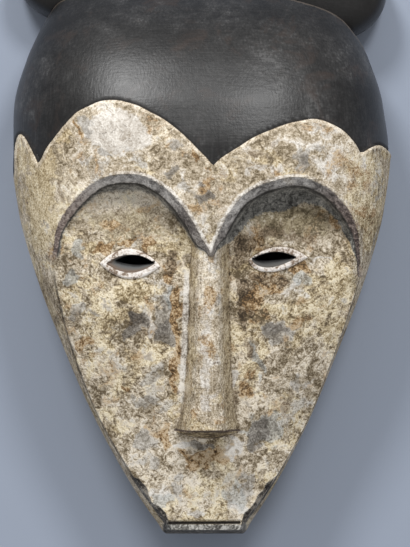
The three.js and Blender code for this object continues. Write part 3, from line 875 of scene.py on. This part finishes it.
def surfaceGuides(x, y, z, nosed):
    # the cap, the sides and how lively the mottling is
    side = faceHeight(x, y) - z
    sideOn = smooth(-y, 22, 44)
    temple = smooth(np.abs(x), 94, 116) * smooth(y, -60, -20)
    onSide = smooth(side, 1.5, 5) * sideOn
    rightTemple = smooth(x, 90, 112) * smooth(y, -60, -20)
    return {
        "cap": signedDistance(capLine, capOutline, x, y)[0],
        "crown": signedDistance(crownOutline[1:-1], crownOutline, x, y)[0],
        "hair": (~inside(crownOutline, x, y)).astype(float),
        "side": side,
        "sideOn": sideOn,
        "rim": smooth(22 - z, 0, 22),
        "lively": 0.88 + 0.34 * smooth(-y, -10, 35) + 0.3 * rightTemple - 0.2 * nosed,
        "streak": np.clip(np.maximum(temple, np.maximum(nosed * 2, onSide)), 0, 1),
        # the kaolin's tones, partly painted light
        "toneAndPaintedLight": sum(amount * np.exp(-ellipse(x, y, *where) ** 2) for *where, amount in tonesAndPaintedLight),
    }


# how far and in what sizes the stains' outlines wander
stainWander = [(7, 12, 1), (3.5, 4.5, 4)]


def stainGuides(x, y, z):
    warpX, warpY = x, y
    for amount, size, seed in stainWander:
        warpX = warpX + amount * roughNoise(x, y, z, size, seed)
        warpY = warpY + amount * roughNoise(x, y, z, size, seed + 1)
    return {kind: stainCover(kind, *((x, y) if kind == "drop" else (warpX, warpY))) for kind in stains}


def storeGuides(piece):
    mesh = piece.data
    places = np.empty(len(mesh.vertices) * 3)
    mesh.vertices.foreach_get("co", places)
    x, y, z = places.reshape(-1, 3).T / mm
    guides = {**browGuides(x, y), **eyeGuides(x, y), **noseGuides(x, y, z), **chinGuides(x, y)}
    guides.update(surfaceGuides(x, y, z, guides.pop("nosed")))
    guides.update(stainGuides(x, y, z))
    for name, values in guides.items():
        layer = mesh.attributes.new(name, "FLOAT", "POINT")
        layer.data.foreach_set("value", np.asarray(values, np.float32))


def faceValues(piece):
    # the middle of each face in millimetres and the way it faces
    centres = np.empty(len(piece.data.polygons) * 3)
    normals = np.empty_like(centres)
    piece.data.polygons.foreach_get("center", centres)
    piece.data.polygons.foreach_get("normal", normals)
    return centres.reshape(-1, 3).T / mm, normals.reshape(-1, 3)


def markCrownWall(piece):
    # the upright wall behind the crown is hair, not cap
    (x, y, _), facing = faceValues(piece)
    away, _ = signedDistance(crownOutline[1:-1], crownOutline, x, y)
    mostAway, mostTilt = 1.6, 0.1
    wall = (np.abs(away) < mostAway) & (np.abs(facing[:, 2]) < mostTilt)
    layer = piece.data.attributes.new("crownWall", "FLOAT", "FACE")
    layer.data.foreach_set("value", wall.astype(np.float32))


storeGuides(mask)
markCrownWall(mask)
print("guides for the paint are stored")


def inHollow(piece):
    # whether each face lies inside the hollow, in an eye slot or on the flat rim
    (x, y, z), facing = faceValues(piece)
    fromMiddle = x - head["middle"](y)
    outward = facing[:, 0] * fromMiddle + facing[:, 2] * (z - 30) + facing[:, 1] * (y + 20) * 0.4
    within = (np.abs(fromMiddle) < head["halfWidth"](y) - 7) & (z < behindFace(x, y) + 5)
    within &= (y > hollow["start"] - 1) & (y < hollow["end"] + 1)
    inSlot = np.maximum(*(almondDepth(eye["slot"], x, y) for eye in eyes)) > -0.3
    return (within & (outward < 0)) | (inSlot & (z < faceHeight(x, y) - 5)) | (z < 0.05)


# Materials

class Shader:
    # builds a material's nodes from short calls that pass sockets on

    def __init__(self, tree):
        self.tree = tree

    def node(self, kind, inputs=None, **settings):
        made = self.tree.nodes.new(kind)
        for name, value in settings.items():
            setattr(made, name, value)
        for key, value in (inputs or {}).items():
            self.set(made.inputs[key], value)
        return made

    def set(self, socket, value):
        if isinstance(value, bpy.types.NodeSocket):
            self.tree.links.new(value, socket)
        else:
            socket.default_value = value

    def math(self, operation, a, b=0.0):
        return self.node("ShaderNodeMath", {0: a, 1: b}, operation=operation).outputs[0]

    def times(self, a, b):
        return self.math("MULTIPLY", a, b)

    def plus(self, a, b):
        return self.math("ADD", a, b)

    def minus(self, a, b):
        return self.math("SUBTRACT", a, b)

    def most(self, a, b):
        return self.math("MAXIMUM", a, b)

    def ramp(self, value, low, high, start=0.0, end=1.0):
        inputs = {"Value": value, "From Min": low, "From Max": high, "To Min": start, "To Max": end}
        return self.node("ShaderNodeMapRange", inputs, interpolation_type="SMOOTHSTEP").outputs[0]

    def strip(self, value, rise, fall):
        # one between the two soft edges, none outside them
        return self.times(self.ramp(value, *rise), self.ramp(value, *fall))

    def vein(self, value, width):
        # thin lines where a noise passes its middle
        return self.ramp(self.math("ABSOLUTE", self.minus(value, 0.5)), width, 0.0)

    def mix(self, factor, a, b):
        made = self.node("ShaderNodeMix", data_type="RGBA")
        self.set(made.inputs[0], factor)
        self.set(made.inputs[6], a)
        self.set(made.inputs[7], b)
        return made.outputs[2]

    def total(self, *parts):
        # the sum of noises about their middle, each with its own weight
        result = None
        for value, weight in parts:
            inputs = {0: value, 1: weight, 2: -0.5 * weight}
            part = self.node("ShaderNodeMath", inputs, operation="MULTIPLY_ADD").outputs[0]
            result = part if result is None else self.plus(result, part)
        return result

    def blend(self, factor, a, b):
        made = self.node("ShaderNodeMix", {0: factor, 2: a, 3: b}, data_type="FLOAT")
        return made.outputs[0]

    def shade(self, value, colours):
        # reads a row of shades from dark to light
        made = self.node("ShaderNodeValToRGB", {0: value})
        stops = made.color_ramp.elements
        while len(stops) < len(colours):
            stops.new(0.5)
        for i, (stop, colour) in enumerate(zip(stops, colours)):
            stop.position = i / (len(colours) - 1)
            stop.color = colour
        return made.outputs[0]

    def noise(self, size, stretch=(1, 1, 1), detail=2.0, roughness=0.5, distortion=0.0, shift=0.0):
        # size is the width of the patches in millimetres
        place = self.node("ShaderNodeMapping", {
            "Vector": self.coordinates,
            "Scale": stretch,
            "Location": (shift, shift * 0.7, shift * 0.3),
        })
        made = self.node("ShaderNodeTexNoise", {
            "Vector": place.outputs[0],
            "Scale": 500 / size,
            "Detail": detail,
            "Roughness": roughness,
            "Distortion": distortion,
        })
        return made.outputs["Fac"]

    def emboss(self, principled, height, depth):
        inputs = {"Strength": relief["strength"], "Distance": depth, "Height": height}
        self.set(principled.inputs["Normal"], self.node("ShaderNodeBump", inputs).outputs[0])

    def guide(self, name):
        return self.node("ShaderNodeAttribute", attribute_name=name).outputs["Fac"]

    @property
    def coordinates(self):
        if not hasattr(self, "placed"):
            self.placed = self.node("ShaderNodeTexCoord").outputs["Object"]
        return self.placed


def tint(r, g, b):
    # a colour as the eye sees it, 0 to 255, turned to linear light
    def linear(v):
        v = v / 255
        return v / 12.92 if v <= 0.04045 else ((v + 0.055) / 1.055) ** 2.4
    return (linear(r), linear(g), linear(b), 1.0)


def newMaterial(name):
    material = bpy.data.materials.new(name)
    material.use_nodes = True
    return material, Shader(material.node_tree), material.node_tree.nodes["Principled BSDF"]


def shades(*colours):
    # evenly spaced shades from dark to light
    return [tint(*colour) for colour in colours]


paint = {
    "kaolin": shades((98, 84, 62), (130, 116, 93), (160, 146, 123),
                     (186, 172, 150), (211, 198, 177), (236, 225, 206)),
    "yellow": shades((104, 86, 54), (138, 119, 84), (171, 152, 116),
                     (198, 180, 144), (221, 205, 170), (240, 227, 196)),
    "olive": shades((84, 74, 54), (112, 100, 76), (138, 125, 98),
                    (162, 149, 121), (186, 173, 146), (212, 201, 176)),
    "rust": shades((54, 38, 20), (82, 60, 34), (112, 85, 52),
                   (140, 111, 74), (168, 140, 102), (200, 177, 144)),
    "brown": shades((46, 36, 24), (68, 55, 39), (90, 75, 56),
                    (114, 97, 75), (142, 125, 102), (174, 159, 136)),
    "ochre": shades((68, 55, 36), (97, 81, 56), (126, 108, 78),
                    (153, 134, 101), (179, 161, 127), (206, 191, 160)),
    "grey": shades((80, 75, 69), (103, 98, 91), (126, 121, 113),
                   (149, 144, 136), (172, 167, 159), (198, 194, 187)),
    "blue": shades((74, 73, 70), (98, 98, 94), (122, 123, 119),
                   (146, 147, 143), (170, 171, 167), (196, 197, 192)),
    "dark": shades((54, 49, 44), (73, 68, 62), (93, 87, 80),
                   (113, 107, 99), (135, 129, 121), (162, 156, 148)),
    "pale": shades((124, 115, 104), (152, 143, 132), (178, 170, 160),
                   (200, 194, 185), (218, 213, 205), (234, 230, 223)),
    "band": shades((60, 54, 52), (79, 73, 70), (98, 92, 88),
                   (117, 110, 105), (137, 130, 124), (166, 159, 152)),
    "bandLight": shades((98, 94, 91), (122, 118, 114), (146, 142, 138),
                        (168, 164, 159), (188, 183, 178), (210, 206, 200)),
    "redBrown": shades((48, 34, 29), (68, 50, 44), (90, 70, 62),
                       (114, 93, 84), (140, 120, 109), (170, 152, 141)),
    # greys for the painted shade under the brows, partly their dark paint
    "darkPaintAndShade": shades((56, 55, 53), (75, 74, 71), (96, 95, 91),
                    (117, 116, 111), (138, 136, 130), (164, 161, 153)),
    # dark wood of the chips, also the chin's underside, there partly painted shade
    "chip": shades((34, 31, 30), (48, 45, 43), (66, 62, 59),
                   (88, 84, 79), (114, 109, 102), (150, 144, 135)),
    "cap": shades((19, 18, 17), (25, 24, 23), (32, 31, 30),
                  (40, 39, 38), (51, 50, 49), (72, 71, 70)),
    "lid": shades((134, 116, 100), (174, 160, 147), (206, 195, 184),
                  (222, 214, 205), (232, 225, 218), (240, 235, 229)),
    "lip": shades((58, 56, 52), (80, 78, 74), (102, 100, 95),
                  (124, 122, 116), (148, 146, 140), (182, 180, 174)),
    # a dark line colour; it also paints shade under the brows and in the cap's and mouth's grooves
    "line": tint(34, 30, 28),
    # near black for the hair, partly painted shade on the lobes
    "black": tint(17, 15, 14),
    # also the painted shadow line under the nose's underside
    "noseLine": tint(64, 48, 44),
    "speck": tint(70, 55, 40),
    "capBrown": tint(56, 44, 37),
    "worn": tint(118, 104, 90),
}

# inside the eyes, from the lid's edge down to the slit, darkening to black as painted shade of the hole
bevels = {
    "left": shades((80, 62, 50), (112, 96, 83), (104, 95, 88), (98, 95, 92),
                   (86, 87, 87), (46, 46, 46), (12, 12, 12)),
    "right": shades((66, 60, 52), (92, 89, 84), (90, 88, 85), (84, 83, 81),
                    (66, 65, 64), (36, 36, 36), (10, 10, 10)),
}


# how matt each surface is, and how strong and deep in metres its fine relief

finish = {"kaolin": 0.86, "cap": 0.38, "specular": 0.38, "bareWood": 0.78}
relief = {"strength": 0.6, "paint": 0.0007, "bareWood": 0.0008}
bareWood = {"light": tint(104, 80, 58), "middle": tint(70, 52, 38), "dark": tint(48, 37, 29)}


def makePaintedWood():
    material, s, principled = newMaterial("paintedWood")
    grit = s.noise(0.55, detail=1.0, roughness=0.5, shift=2.3)
    grain = s.noise(1.1, detail=2.0, roughness=0.6, distortion=0.3)
    curl = s.noise(2.6, detail=1.5, roughness=0.5, distortion=1.8, shift=3.1)
    patch = s.noise(6.0, detail=2.0, roughness=0.55, distortion=0.8, shift=7.7)
    cloud = s.noise(24.0, detail=3.0, roughness=0.55, shift=1.9)
    cloudGrey = s.noise(17.0, detail=4.0, roughness=0.62, distortion=0.6, shift=12.3)
    cloudYellow = s.noise(19.0, detail=4.0, roughness=0.65, distortion=0.6, shift=21.4)
    cloudRust = s.noise(14.0, detail=4.0, roughness=0.65, distortion=0.8, shift=27.9)
    streak = s.noise(0.8, stretch=(1, 0.16, 0.3), detail=2.5, roughness=0.55, shift=5.5)
    streaky = s.guide("streak")

    # the kaolin is marbled in grains and curling flakes, or in short streaks along the grain
    veins = s.vein(curl, 0.035)
    marbled = s.total((grit, 1.15), (grain, 0.85), (curl, 1.55), (patch, 1.75))
    marbled = s.plus(marbled, s.times(veins, 0.14))
    streaked = s.total((grit, 1.4), (grain, 1.2), (streak, 0.9), (patch, 1.0))
    mottle = s.blend(streaky, marbled, streaked)
    calm = s.most(s.guide("pale"), s.times(s.guide("olive"), 0.4))
    for kind in ("grey", "dark", "blue"):
        calm = s.most(calm, s.times(s.guide(kind), 0.85))
    contrast = s.times(s.ramp(calm, 0.2, 0.8, 1.0, 0.62), s.guide("lively"))
    mottle = s.times(mottle, contrast)
    # the listed tones make the kaolin lighter or darker in places, partly as painted light
    mottle = s.plus(s.plus(mottle, s.total((cloud, 0.8))), s.guide("toneAndPaintedLight"))
    mottle = s.plus(mottle, 0.6)

    def painted(kind, shift=None):
        # a paint in its own mottled shades, which a shift makes lighter or darker
        return s.shade(mottle if shift is None else s.plus(mottle, shift), paint[kind])

    colour = painted("kaolin")

    # washes and stains with broken edges: some everywhere, and those listed
    broken = s.total((patch, 1.9), (curl, 0.8))

    def stained(colour, kind, strength, spread=None):
        cover = s.times(s.guide(kind), 1.35)
        if spread:
            cover = s.most(cover, s.minus(spread, s.times(calm, 0.35)))
        amount = s.ramp(s.plus(cover, broken), 0.28, 0.8)
        return s.mix(s.times(amount, strength), colour, painted(kind))

    cool = s.guide("cool")
    yellowSpread = s.minus(s.ramp(cloudYellow, 0.42, 0.62, 0.0, 0.85), s.times(cool, 0.4))
    colour = stained(colour, "yellow", 0.8, yellowSpread)
    colour = stained(colour, "olive", 0.85)
    paleSpread = s.plus(s.ramp(cloud, 0.5, 0.75, 0.0, 0.5), s.times(cool, 0.3))
    colour = stained(colour, "pale", 0.8, paleSpread)
    colour = stained(colour, "grey", 0.75, s.ramp(cloudGrey, 0.46, 0.7, 0.0, 0.75))
    colour = stained(colour, "blue", 0.7)
    colour = stained(colour, "rust", 0.95, s.ramp(cloudRust, 0.46, 0.72, 0.0, 0.75))
    colour = stained(colour, "brown", 0.9)
    colour = stained(colour, "dark", 0.85)
    crack = s.vein(s.noise(4.5, detail=3.0, distortion=1.6, shift=44.0), 0.022)
    crack = s.times(crack, s.ramp(cloudRust, 0.4, 0.55))
    specks = s.times(s.ramp(grain, 0.6, 0.67), s.ramp(patch, 0.57, 0.48))
    specks = s.most(specks, s.times(crack, s.ramp(calm, 0.2, 0.7, 0.7, 0.1)))
    colour = s.mix(s.times(specks, 0.5), colour, paint["speck"])

    # the nose: dark lines along its foot, sides browner partly as painted shade of their slopes,
    # a white line at its left foot, an underside painted darker partly as painted shade, and a painted
    # shadow line below it
    wander = s.total((s.noise(3.2, detail=3.0, shift=9.0), 2.4))
    across = s.plus(s.guide("noseAcross"), s.times(wander, 0.05))
    rightSide = s.strip(across, (0.5, 0.75), (1.06, 0.98))
    leftSide = s.strip(across, (-0.6, -0.72), (-1.0, -0.93))
    fillet = s.strip(across, (-1.32, -1.2), (-0.97, -1.04))
    fillet = s.times(fillet, s.guide("filletOn"))
    rightEdge = s.strip(across, (0.94, 1.0), (1.08, 1.02))
    edges = s.most(rightEdge, s.strip(across, (-1.04, -0.98), (-0.9, -0.95)))
    # the sides in ochre: partly their colour, partly painted shade of the sloping planes
    colour = s.mix(s.times(rightSide, 0.7), colour, painted("ochre", 0.06))
    colour = s.mix(s.times(leftSide, 0.5), colour, painted("ochre"))
    colour = s.mix(s.times(fillet, 0.8), colour, painted("pale", 0.2))
    colour = s.mix(s.times(edges, 0.55), colour, painted("brown"))
    # the underside painted darker: partly its brown, partly painted shade under the nose
    under = s.guide("noseUnder")
    colour = s.mix(under, colour, painted("ochre", -0.15))
    atEnd = s.plus(s.guide("noseEnd"), s.times(wander, 0.7))
    endLine = s.strip(atEnd, (-0.6, 0.1), (1.7, 1.0))
    # a painted shadow line along the underside's lower edge
    footShadow = s.times(s.strip(under, (0.02, 0.25), (0.95, 0.6)), s.ramp(atEnd, 1.2, 2.2))
    endLine = s.most(endLine, footShadow)
    colour = s.mix(s.times(endLine, 0.85), colour, paint["noseLine"])

    # the sides below the jaw, the chipped edges and the mouth
    side = s.plus(s.guide("side"), s.times(wander, 0.6))
    sideOn = s.guide("sideOn")
    onSide = s.times(s.ramp(side, 1.0, 3.0), sideOn)
    colour = s.mix(s.times(onSide, 0.3), colour, painted("brown"))
    edgeLine = s.times(s.strip(side, (0.9, 1.7), (4.0, 2.4)), sideOn)
    colour = s.mix(s.times(edgeLine, 0.6), colour, paint["line"])
    chip = s.plus(s.guide("chip"), s.times(wander, 0.5))
    chipped = s.times(s.ramp(chip, -0.4, 0.1), s.ramp(side, 6.0, 4.0))
    colour = s.mix(chipped, colour, painted("chip", -0.08))
    below = s.plus(s.guide("belowMouth"), s.times(wander, 0.3))
    within = s.ramp(s.guide("lipBeside"), 0.0, 1.0, 1.0, 0.0)
    inLip = s.ramp(below, 0.8, 1.6)
    colour = s.mix(s.times(inLip, within), colour, painted("lip"))
    # the chin's underside and the lip's ends near black: partly dark wood, partly painted shade under the
    # chin
    chinDarkAndShade = s.most(s.ramp(below, 4.8, 6.2, 0.0, 0.95), s.times(s.guide("atLipEnd"), inLip))
    colour = s.mix(s.times(chinDarkAndShade, within), colour, painted("chip", -0.25))
    # the mouth's groove painted dark: partly painted shade in the groove
    groove = s.plus(s.guide("groove"), s.total((patch, 0.8)))
    colour = s.mix(s.times(s.ramp(groove, 0.3, 0.6), 0.9), colour, paint["line"])

    # lids and the bevel inside them
    lid, opening = s.guide("lid"), s.guide("opening")
    outline = s.strip(lid, (-1.2, -0.3), (0.9, 0.2))
    colour = s.mix(s.times(outline, 0.6), colour, painted("brown"))
    colour = s.mix(s.ramp(s.plus(lid, s.times(wander, 0.25)), 0.1, 0.7), colour, painted("lid"))
    inward = s.math("DIVIDE", opening, s.most(s.minus(opening, s.guide("slot")), 0.4))
    inward = s.plus(inward, s.times(wander, 0.12))
    # the bevel darkens to black at the slit: painted shade of the hole over the wood
    bevel = s.mix(s.guide("right"), s.shade(inward, bevels["left"]), s.shade(inward, bevels["right"]))
    colour = s.mix(s.ramp(opening, -0.2, 0.5), colour, bevel)

    # the brows: a pale rim, partly painted highlight on the ridge; a grey band; a dark line of
    # painted shadow, partly dark paint; and painted shade under it, partly the brows' dark paint
    browOn = s.guide("browOn")
    rough = s.plus(s.times(wander, 0.5), s.total((grain, 2.0)))
    brow = s.plus(s.guide("brow"), rough)
    browBand = s.plus(s.guide("browBand"), rough)
    isRight = s.guide("browRight")
    shadeShare = s.plus(s.guide("browShade"), s.plus(s.times(wander, 0.08), s.total((grain, 0.35))))
    leftShade = s.ramp(shadeShare, 1.1, 0.78, 0.0, 0.96)
    rightShade = s.ramp(shadeShare, 1.03, 0.93, 0.0, 0.96)
    shade = s.times(s.ramp(browBand, 5.4, 6.2), s.blend(isRight, leftShade, rightShade))
    line = s.strip(browBand, (5.2, 5.9), (8.2, 6.8))
    band = s.times(s.ramp(brow, 0.0, 0.8), s.ramp(browBand, 6.4, 5.6))
    rim = s.strip(brow, (-2.8, -1.2), (0.7, 0.0))
    # painted shade under the brows, partly their dark paint; darker on the left
    colour = s.mix(s.times(shade, browOn), colour,
                   painted("darkPaintAndShade", s.blend(isRight, -0.22, 0.08)))
    # the dark line under the band: painted shadow, partly dark paint
    colour = s.mix(s.times(s.times(line, browOn), 0.75), colour, paint["line"])
    bandColour = s.mix(s.guide("browTop"), painted("band"), painted("bandLight"))
    bandColour = s.mix(s.times(s.guide("browEnds"), 0.55), bandColour, painted("redBrown", -0.1))
    bandColour = s.mix(s.guide("drop"), bandColour, painted("pale"))
    colour = s.mix(s.times(band, browOn), colour, bandColour)
    # the pale rim on the ridge: partly white kaolin, partly painted highlight
    rim = s.times(rim, s.times(s.guide("browRim"), browOn))
    colour = s.mix(s.times(rim, 0.8), colour, painted("pale", 0.1))

    # the cap of hair, finely hatched, with painted shade in the groove at its edge and partly on the
    # lobes, and a painted highlight on the raised edge of the kaolin below it
    cap = s.plus(s.guide("cap"), s.times(wander, 0.3))
    hatchUp = s.noise(0.7, stretch=(1, 0.06, 1), detail=1.0, shift=31.0)
    hatchAcross = s.noise(0.7, stretch=(0.06, 1, 1), detail=1.0, shift=41.0)
    hatch = s.total((hatchUp, 0.8), (hatchAcross, 0.5), (grain, 0.6), (patch, 0.8), (cloud, 1.8),
                    (cloudGrey, 1.4))
    capColour = s.shade(s.plus(hatch, 0.45), paint["cap"])
    capColour = s.mix(s.times(s.ramp(cloudRust, 0.52, 0.72), 0.5), capColour, paint["capBrown"])
    # a dark line in the groove along the cap's edge: painted shade
    capColour = s.mix(s.times(s.ramp(cap, 1.9, 0.6), 0.8), capColour, paint["line"])
    crownWall = s.guide("crownWall")
    # the hair near black: partly its own black, partly painted shade on the lobes
    hair = s.most(s.guide("hair"), crownWall)
    capColour = s.mix(s.times(hair, 0.85), capColour, paint["black"])
    crown = s.plus(s.guide("crown"), s.times(wander, 0.3))
    crownEdge = s.strip(crown, (1.4, 0.7), (-0.5, 0.1))
    crownEdge = s.times(crownEdge, s.minus(1.0, crownWall))
    capColour = s.mix(s.times(crownEdge, 0.3), capColour, paint["worn"])
    # a painted highlight along the kaolin's raised edge below the cap
    edgeHighlight = s.strip(cap, (-3.0, -1.6), (0.3, -0.2))
    colour = s.mix(s.times(edgeHighlight, 0.75), colour, painted("kaolin", 0.1))
    isCap = s.ramp(cap, -0.2, 0.3)
    colour = s.mix(isCap, colour, capColour)
    colour = s.mix(s.times(s.guide("rim"), 0.55), colour, painted("brown"))

    s.set(principled.inputs["Base Color"], colour)
    s.set(principled.inputs["Roughness"], s.ramp(cap, 0.5, 3.5, finish["kaolin"], finish["cap"]))
    principled.inputs["Specular IOR Level"].default_value = finish["specular"]
    flaked = s.total((grain, 0.8), (curl, 1.2), (patch, 1.0))
    height = s.blend(streaky, flaked, s.total((grain, 0.8), (streak, 1.2)))
    height = s.times(height, s.ramp(isCap, 0.0, 1.0, 1.0, 0.16))
    height = s.plus(height, s.times(s.total((hatchUp, 0.2), (hatchAcross, 0.12)), isCap))
    s.emboss(principled, height, relief["paint"])
    return material


def makeBareWood():
    material, s, principled = newMaterial("bareWood")
    streak = s.noise(2.2, stretch=(1, 0.07, 1), detail=3.0, roughness=0.6)
    cloud = s.noise(30.0, detail=3.0, shift=4.0)
    colour = s.mix(s.ramp(streak, 0.35, 0.68), bareWood["middle"], bareWood["light"])
    colour = s.mix(s.times(s.ramp(cloud, 0.45, 0.7), 0.7), colour, bareWood["dark"])
    s.set(principled.inputs["Base Color"], colour)
    principled.inputs["Roughness"].default_value = finish["bareWood"]
    s.emboss(principled, streak, relief["bareWood"])
    return material


mask.data.materials.clear()
mask.data.materials.append(makePaintedWood())
mask.data.materials.append(makeBareWood())
bareFaces = inHollow(mask)
mask.data.polygons.foreach_set("material_index", bareFaces.astype(np.int32))
print(int(bareFaces.sum()), "faces are bare wood")
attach(mask, "root")
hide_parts("carved_mask")
print("materials are made")


# Stage, light and camera

ground = {"size": 8, "colour": (0.298, 0.338, 0.415, 1), "roughness": 0.9}
room = {"colour": (0.97, 0.98, 1, 1), "strength": 0.5}
lights = {
    "keyLight": {"place": (-0.7, 1.64, 1.52), "size": 0.6, "power": 33},
    "secondLight": {"place": (0.56, 1.34, 1.6), "size": 0.5, "power": 20},
}
lightTarget = (0, 0, 0.05)

# the photo's height in pixels, and a pixel's size in metres at the given level above the floor
camera = {
    "height": 2.6,
    "x": 0.00296,
    "y": -0.03325,
    "pixels": 547,
    "scale": 0.0007407,
    "level": 0.040,
    "sensor": 24,
}


def makeFloor():
    bpy.ops.object.select_all(action="DESELECT")
    bpy.ops.mesh.primitive_plane_add(size=ground["size"], location=(0, 0, 0))
    floor = bpy.context.object
    floor.name = "floor"
    material, _, principled = newMaterial("paleFloor")
    principled.inputs["Base Color"].default_value = ground["colour"]
    principled.inputs["Roughness"].default_value = ground["roughness"]
    floor.data.materials.append(material)


def makeLight(name, place, size, power):
    data = bpy.data.lights.new(name, "AREA")
    data.shape = "DISK"
    data.size = size
    data.energy = power
    light = bpy.data.objects.new(name, data)
    light.location = place
    towards = Vector(lightTarget) - Vector(place)
    light.rotation_euler = towards.to_track_quat("-Z", "Y").to_euler()
    bpy.context.collection.objects.link(light)


def makeCamera():
    data = bpy.data.cameras.new("camera")
    data.sensor_fit = "VERTICAL"
    data.sensor_height = camera["sensor"]
    away = camera["height"] - camera["level"]
    data.lens = camera["sensor"] * away / (camera["pixels"] * camera["scale"])
    seen = bpy.data.objects.new("camera", data)
    seen.location = (camera["x"], camera["y"], camera["height"])
    bpy.context.collection.objects.link(seen)
    bpy.context.scene.camera = seen


makeFloor()
for name, light in lights.items():
    makeLight(name, **light)
makeCamera()
world = bpy.data.worlds.new("softRoom")
world.use_nodes = True
world.node_tree.nodes["Background"].inputs["Color"].default_value = room["colour"]
world.node_tree.nodes["Background"].inputs["Strength"].default_value = room["strength"]
bpy.context.scene.world = world
bpy.context.scene.view_settings.view_transform = "Standard"
print("stage and light are set")
